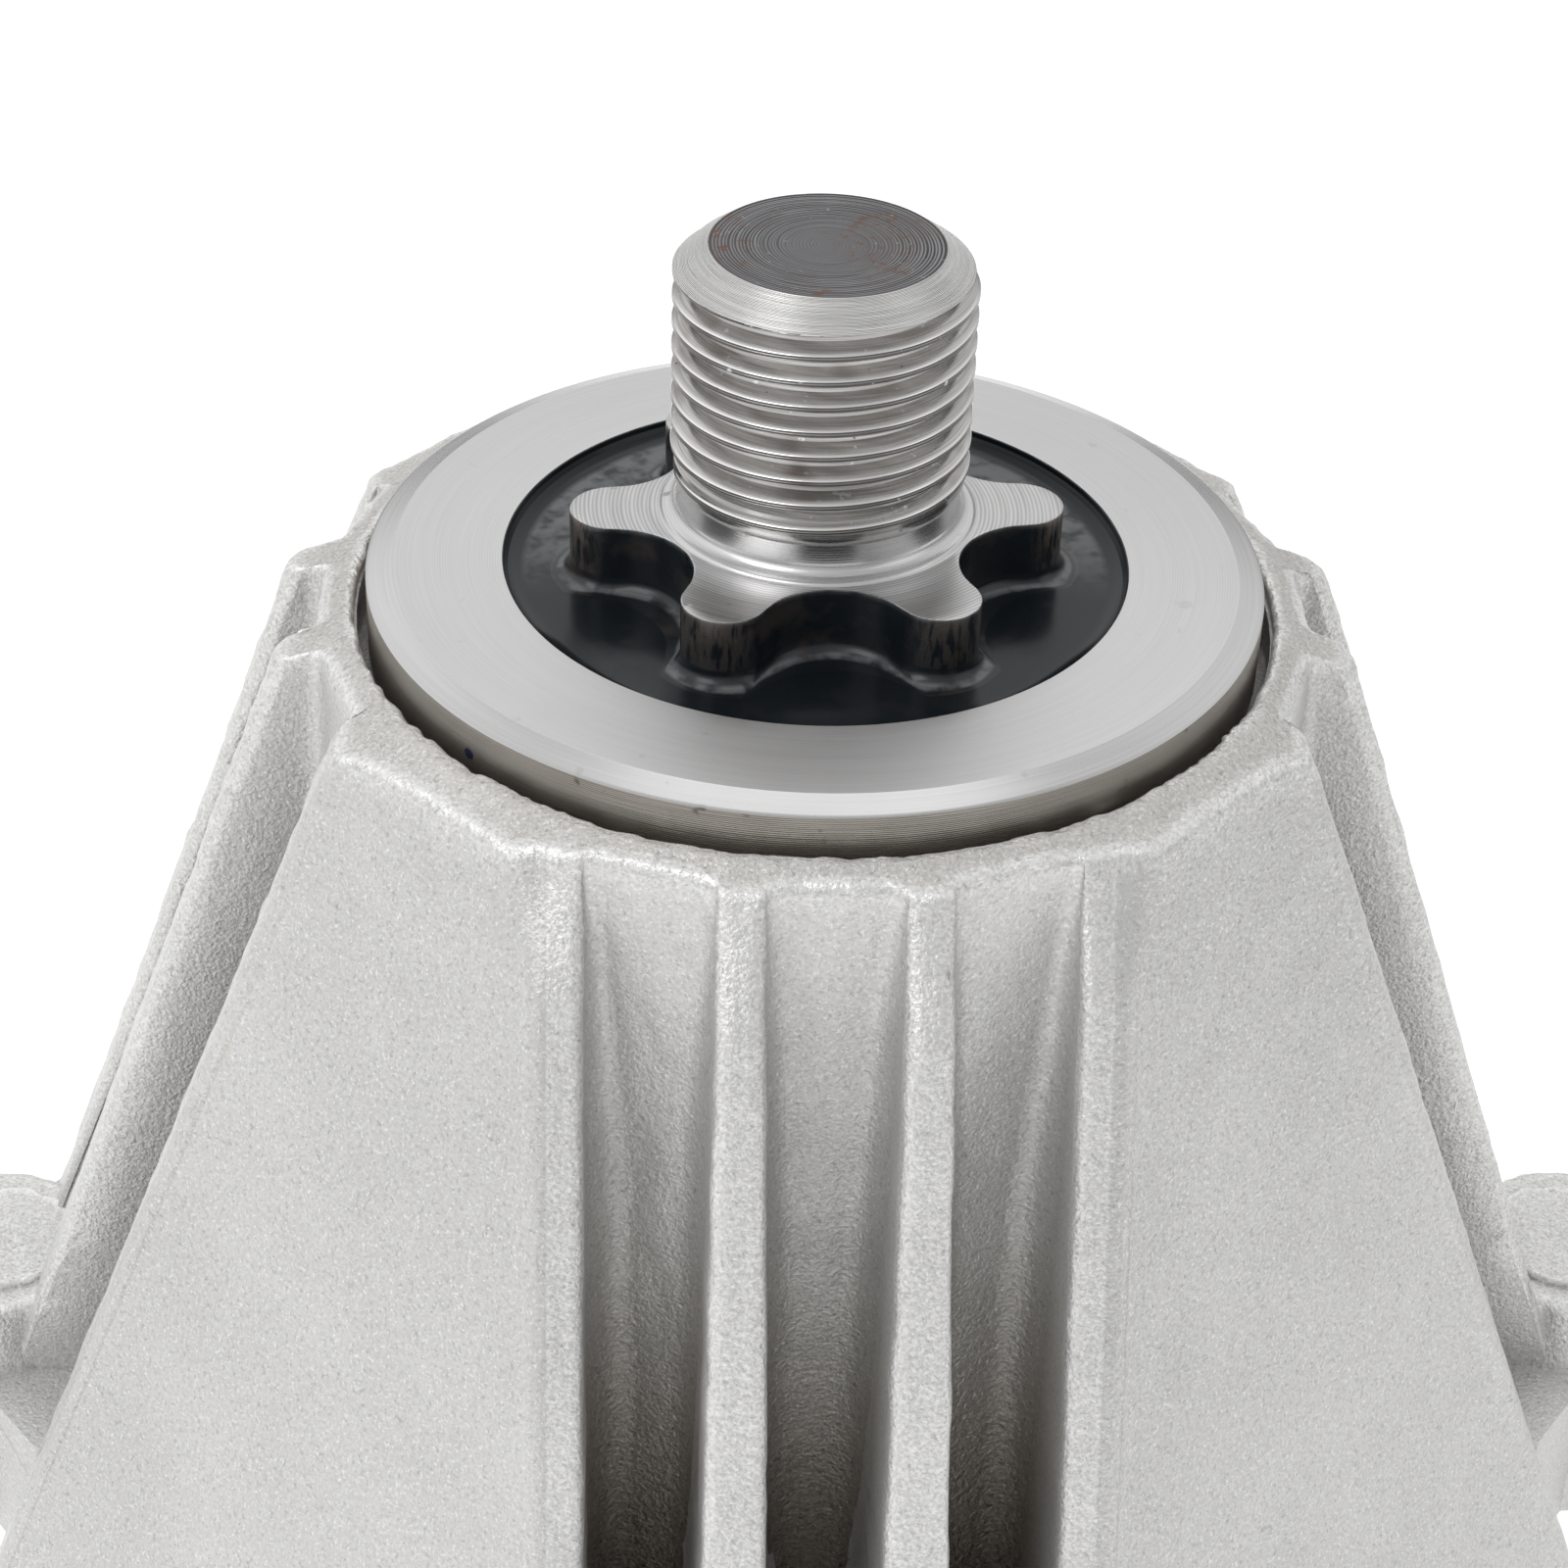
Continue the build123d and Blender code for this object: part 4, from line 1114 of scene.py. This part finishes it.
class StageSettings(bpy.types.PropertyGroup):
    """Floor colour, lights and lens of the studio."""

    floor_colour: bpy.props.FloatVectorProperty(
        name="Floor", description="Plain pale floor",
        default=(0.72, 0.72, 0.72, 1.0), size=4, subtype="COLOR",
    )
    sky: bpy.props.FloatProperty(
        name="Sky", description="Strength of the plain surrounding light", default=1.0
    )
    key_power: bpy.props.FloatProperty(
        name="Key", description="Power of the main softbox", default=0.7, unit="POWER"
    )
    lens: bpy.props.FloatProperty(
        name="Lens", description="Focal length on a 36 mm sensor", default=77.205
    )


# Operators


class SPINDLE_OT_casting(bpy.types.Operator):
    """Adds the cast skin with its ribs, rim and lip, and finishes the housing."""

    bl_idname = "spindle.casting"
    bl_label = "Cast housing"

    def execute(self, context):
        settings = context.scene.spindle_casting
        material = cast_material(settings)
        dress("housing", material)
        core = housing_core()
        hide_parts("housing")
        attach(core, "housing_body")
        sizes = (settings.lift / MM, settings.edge / MM, settings.chips / MM)
        points, worn, dirt = casting_skin(*sizes)
        marks = {"worn": worn, "dirt": dirt}
        skin = surface("housing_skin", points, ring=True, marks=marks, crease=50)
        skin.data.materials.append(material)
        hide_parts("housing")
        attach(skin, "housing_body")
        return {"FINISHED"}


class SPINDLE_OT_bosses(bpy.types.Operator):
    """Adds the rounded boss caps and ejector pads on the four ears."""

    bl_idname = "spindle.bosses"
    bl_label = "Ear bosses"

    def execute(self, context):
        material = bpy.data.materials["die_cast_skin"]
        pieces = (("boss_cap", BOSS_CAP, EAR), ("ejector_pad", EJECTOR_PAD, PAD_CENTRE))
        for k in range(4):
            c, s = round(np.cos(k * np.pi / 2)), round(np.sin(k * np.pi / 2))
            for label, profile, at in pieces:
                shape = turned_profile(profile, 128, (at * c, at * s), 0.035, 20 + k)
                marks = {"worn": np.clip(np.array(profile)[:, 2:] * 0.6, 0, 1)}
                item = surface(f"{label}_{k + 1}", shape, poles=True, marks=marks, crease=50)
                item.data.materials.append(material)
                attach(item, "housing_body")
        return {"FINISHED"}


class SPINDLE_OT_shaft(bpy.types.Operator):
    """Makes the shaft with its threads, star, scale and turned flange."""

    bl_idname = "spindle.shaft"
    bl_label = "Spindle shaft"

    def execute(self, context):
        settings = context.scene.spindle_shaft
        steel = tuple(settings.steel_colour)
        dark = tuple(0.55 * c for c in steel[:3]) + (1,)
        soft = tuple(0.88 * c for c in steel[:3]) + (1,)
        scale = tuple(settings.scale_colour)
        thread = thread_material()
        materials = [
            end_face_material(),
            steel_material("chamfer_steel", (0.80, 0.795, 0.79, 1), (0.32, 0.315, 0.31, 1), 0.31,
                           4200.0, relief=32, spread=0.32, aniso=0.2, specks=0.3, ridge=0.12,
                           ridge_share=0.5, broken=0.8),
            thread,
            steel_material("neck_steel", steel, soft, 0.28, 5200.0, relief=6, spread=0.4,
                           aniso=0.3, specks=0.5, ridge=0.2, ridge_share=0.3),
            steel_material("star_face_steel", steel, dark, 0.30, 5200.0, relief=4, spread=0.9,
                           aniso=0.3, specks=0.3, ridge=0.22, ridge_share=0.4),
            dark_material("star_side_scale", scale, 0.2, 0.35),
            dark_material("disc_scale", scale, 0.12, 0.05, relief=1.6, gloss=0.3),
            steel_material("flange_face_steel", steel, soft, 0.46, 9000.0, relief=2.2, spread=0.6,
                           aniso=0.4, specks=0.1, ridge=0.14, ridge_share=0.3),
            steel_material("flange_bevel_steel", steel, soft, 0.24, 5200.0, spread=0.6,
                           aniso=0.3, specks=0.1),
            side_material(),
            steel_material("journal_steel", steel, soft, 0.24, 9000.0, relief=1.5, spread=0.5,
                           aniso=0.4, specks=0.1),
        ]
        points, zones, scuff_and_highlight, bare = shaft_surface(settings.columns)
        marks = {"scuff_and_highlight": scuff_and_highlight, "bare": bare}
        shaft = surface("shaft", points, poles=True, zones=zones, marks=marks, crease=17)
        for material in materials:
            shaft.data.materials.append(material)
        blade = thread_ridge(
            start=16.91 / PITCH - 25 / 360 - 0.5 + SEAT / PITCH, low=SEAT + 4.7, high=SEAT + 18.15,
            fade_low=SEAT + 5.9, fade_high=SEAT + 18.1,
            cone=(6.11 + (SEAT + CHAMFER_TOP) * CHAMFER_SLOPE, -CHAMFER_SLOPE), turn_steps=200,
        )
        drive = thread_ridge(
            start=0.0, low=-50.0, high=-41.2, fade_low=-49.9, fade_high=-42.4,
            cone=(6.78 + 49.57, 1.0), turn_steps=120,
        )
        for name, (shape, crest, faces) in (("blade_thread", blade), ("drive_thread", drive)):
            marks = {"crest": crest}
            ridge = surface(name, shape, poles=True, zones=faces, marks=marks, crease=35,
                            lengthwise=True)
            ridge.data.materials.append(thread)
            ridge.data.materials.append(materials[CHAMFER])
            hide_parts("spindle_shaft")
            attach(ridge, "shaft_body")
        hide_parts("spindle_shaft")
        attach(shaft, "shaft_body")
        return {"FINISHED"}


class SPINDLE_OT_bearings(bpy.types.Operator):
    """Finishes both bearings, the spacer tube and the retaining ring."""

    bl_idname = "spindle.bearings"
    bl_label = "Bearings"

    def execute(self, context):
        race = steel_material("race_steel", (0.66, 0.66, 0.66, 1), (0.5, 0.5, 0.5, 1), 0.2, 7000.0,
                              spread=0.5, specks=0.1)
        ball = steel_material("ball_steel", (0.75, 0.75, 0.76, 1), (0.7, 0.7, 0.71, 1), 0.12, 900.0,
                              relief=0.1, spread=0.6)
        cage = steel_material("cage_steel", (0.5, 0.5, 0.49, 1), (0.38, 0.38, 0.37, 1), 0.36,
                              2500.0, relief=4.0, spread=0.5)
        tube = steel_material("tube_steel", (0.46, 0.45, 0.44, 1), (0.3, 0.29, 0.28, 1), 0.4,
                              1500.0, relief=8.0, spread=0.5, specks=0.5)
        ring = steel_material("spring_steel", (0.07, 0.07, 0.075, 1), (0.04, 0.04, 0.045, 1), 0.34,
                              1800.0, relief=4.0)
        rubber = rubber_material()
        finishes = {
            "outer_race": race, "inner_race": race, "balls": ball, "cage_upper": cage,
            "cage_lower": cage, "cage_rivets": cage, "seal_upper": rubber, "seal_lower": rubber,
        }
        for prefix in ("blade_bearing", "drive_bearing"):
            for label, material in finishes.items():
                dress(f"{prefix}_{label}", material)
        dress("spacer_tube", tube)
        dress("retaining_ring", ring)
        return {"FINISHED"}


class SPINDLE_OT_drive_end(bpy.types.Operator):
    """Finishes the slinger, washer and flange nut on the drive end."""

    bl_idname = "spindle.drive_end"
    bl_label = "Drive end"

    def execute(self, context):
        dress("slinger", zinc_material("plated_sheet", (0.62, 0.62, 0.6, 1)))
        dress("drive_washer", zinc_material("plated_washer", (0.58, 0.59, 0.6, 1)))
        dress("drive_nut", zinc_material("plated_nut", (0.6, 0.61, 0.62, 1)))
        return {"FINISHED"}


class SPINDLE_OT_stage(bpy.types.Operator):
    """Sets up the floor, the soft studio light and the camera."""

    bl_idname = "spindle.stage"
    bl_label = "Studio"

    def execute(self, context):
        settings = context.scene.spindle_stage
        scene = context.scene
        low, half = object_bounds()[0][2], 3.0
        floor_mesh = bpy.data.meshes.new("floor")
        corners = [(-half, -half, low), (half, -half, low), (half, half, low), (-half, half, low)]
        floor_mesh.from_pydata(corners, [], [(0, 1, 2, 3)])
        floor = bpy.data.objects.new("floor", floor_mesh)
        scene.collection.objects.link(floor)
        material = bpy.data.materials.new("floor_paper")
        material.use_nodes = True
        g = Graph(material.node_tree)
        paper = material.node_tree.nodes["Principled BSDF"]
        paper.inputs["Base Color"].default_value = settings.floor_colour
        paper.inputs["Roughness"].default_value = 0.9
        seen = material.node_tree.nodes.new("ShaderNodeLightPath").outputs
        bent = g.math("MAXIMUM", seen["Is Glossy Ray"], seen["Is Transmission Ray"])
        shows = g.math("MAXIMUM", seen["Is Camera Ray"], bent)
        glow = g.node("ShaderNodeEmission", Color=(1, 1, 1, 1), Strength=g.mul(shows, 0.55))
        both = g.node("ShaderNodeAddShader", i0=paper.outputs[0], i1=glow)
        sink = material.node_tree.nodes["Material Output"]
        material.node_tree.links.new(both, sink.inputs["Surface"])
        floor_mesh.materials.append(material)
        floor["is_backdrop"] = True

        world = bpy.data.worlds.new("studio")
        scene.world = world
        world.use_nodes = True
        g = Graph(world.node_tree)
        seen = world.node_tree.nodes.new("ShaderNodeLightPath").outputs
        parts = g.node("ShaderNodeSeparateXYZ", Vector=g.node("ShaderNodeTexCoord")).node.outputs
        rise = g.ramp(parts[2], -0.12, 0.42)
        level = g.add(0.10, g.mul(rise, 0.86))
        level = g.sub(level, g.ramp(parts[2], 0.62, 0.97, 0.0, 0.34))
        front = g.ramp(parts[1], -0.15, -0.85, 1.0, 0.78)
        side = g.sub(1.0, g.mul(parts[0], 0.16))
        corner = g.sub(g.mul(parts[0], 0.8), g.mul(parts[1], 0.6))
        side = g.mul(side, g.ramp(corner, 0.2, 0.95, 1.0, 0.72))
        level = g.mul(g.mul(level, front), g.mul(side, settings.sky))
        seen_level = g.mul(seen["Is Camera Ray"], g.sub(1.0, level))
        level = g.add(level, seen_level)
        sky = world.node_tree.nodes["Background"]
        sky.inputs["Color"].default_value = (1, 1, 1, 1)
        world.node_tree.links.new(level, sky.inputs["Strength"])

        for name, (at, size, share) in LAMPS.items():
            lamp = bpy.data.lights.new(name, "AREA")
            lamp.shape = "SQUARE"
            lamp.size = size
            lamp.energy = settings.key_power * share
            item = bpy.data.objects.new(name, lamp)
            item.location = at
            aim = Vector(LAMPS_AIM) - item.location
            item.rotation_euler = aim.to_track_quat("-Z", "Y").to_euler()
            scene.collection.objects.link(item)

        camera_data = bpy.data.cameras.new("camera")
        camera_data.sensor_width = 36.0
        camera_data.lens = settings.lens
        camera_data.clip_start = 0.01
        camera = bpy.data.objects.new("camera", camera_data)
        camera.location = CAMERA_AT
        camera.rotation_euler = tuple(np.radians(CAMERA_TURN))
        scene.collection.objects.link(camera)
        scene.camera = camera
        scene.view_settings.view_transform = "Standard"
        return {"FINISHED"}


class SPINDLE_PT_panel(bpy.types.Panel):
    """Lists the pieces and the studio in the sidebar."""

    bl_idname = "SPINDLE_PT_panel"
    bl_label = "Mower deck spindle"
    bl_space_type = "VIEW_3D"
    bl_region_type = "UI"
    bl_category = "Spindle"

    def draw(self, context):
        scene = context.scene
        for group in (scene.spindle_casting, scene.spindle_shaft, scene.spindle_stage):
            box = self.layout.box()
            for key in group.__annotations__:
                box.prop(group, key)
        for operator in OPERATORS:
            self.layout.operator(operator.bl_idname)


OPERATORS = (
    SPINDLE_OT_casting,
    SPINDLE_OT_bosses,
    SPINDLE_OT_shaft,
    SPINDLE_OT_bearings,
    SPINDLE_OT_drive_end,
    SPINDLE_OT_stage,
)
CLASSES = (CastingSettings, ShaftSettings, StageSettings, *OPERATORS, SPINDLE_PT_panel)


def register():
    """Registers the classes and hangs the settings on the scene."""
    for item in CLASSES:
        bpy.utils.register_class(item)
    bpy.types.Scene.spindle_casting = bpy.props.PointerProperty(type=CastingSettings)
    bpy.types.Scene.spindle_shaft = bpy.props.PointerProperty(type=ShaftSettings)
    bpy.types.Scene.spindle_stage = bpy.props.PointerProperty(type=StageSettings)


def unregister():
    """Takes the settings and classes away again."""
    for key in ("spindle_casting", "spindle_shaft", "spindle_stage"):
        delattr(bpy.types.Scene, key)
    for item in reversed(CLASSES):
        bpy.utils.unregister_class(item)


def main():
    """Runs every operator in order."""
    register()
    for operator in OPERATORS:
        family, name = operator.bl_idname.split(".")
        getattr(getattr(bpy.ops, family), name)()


if __name__ == "__main__":
    main()
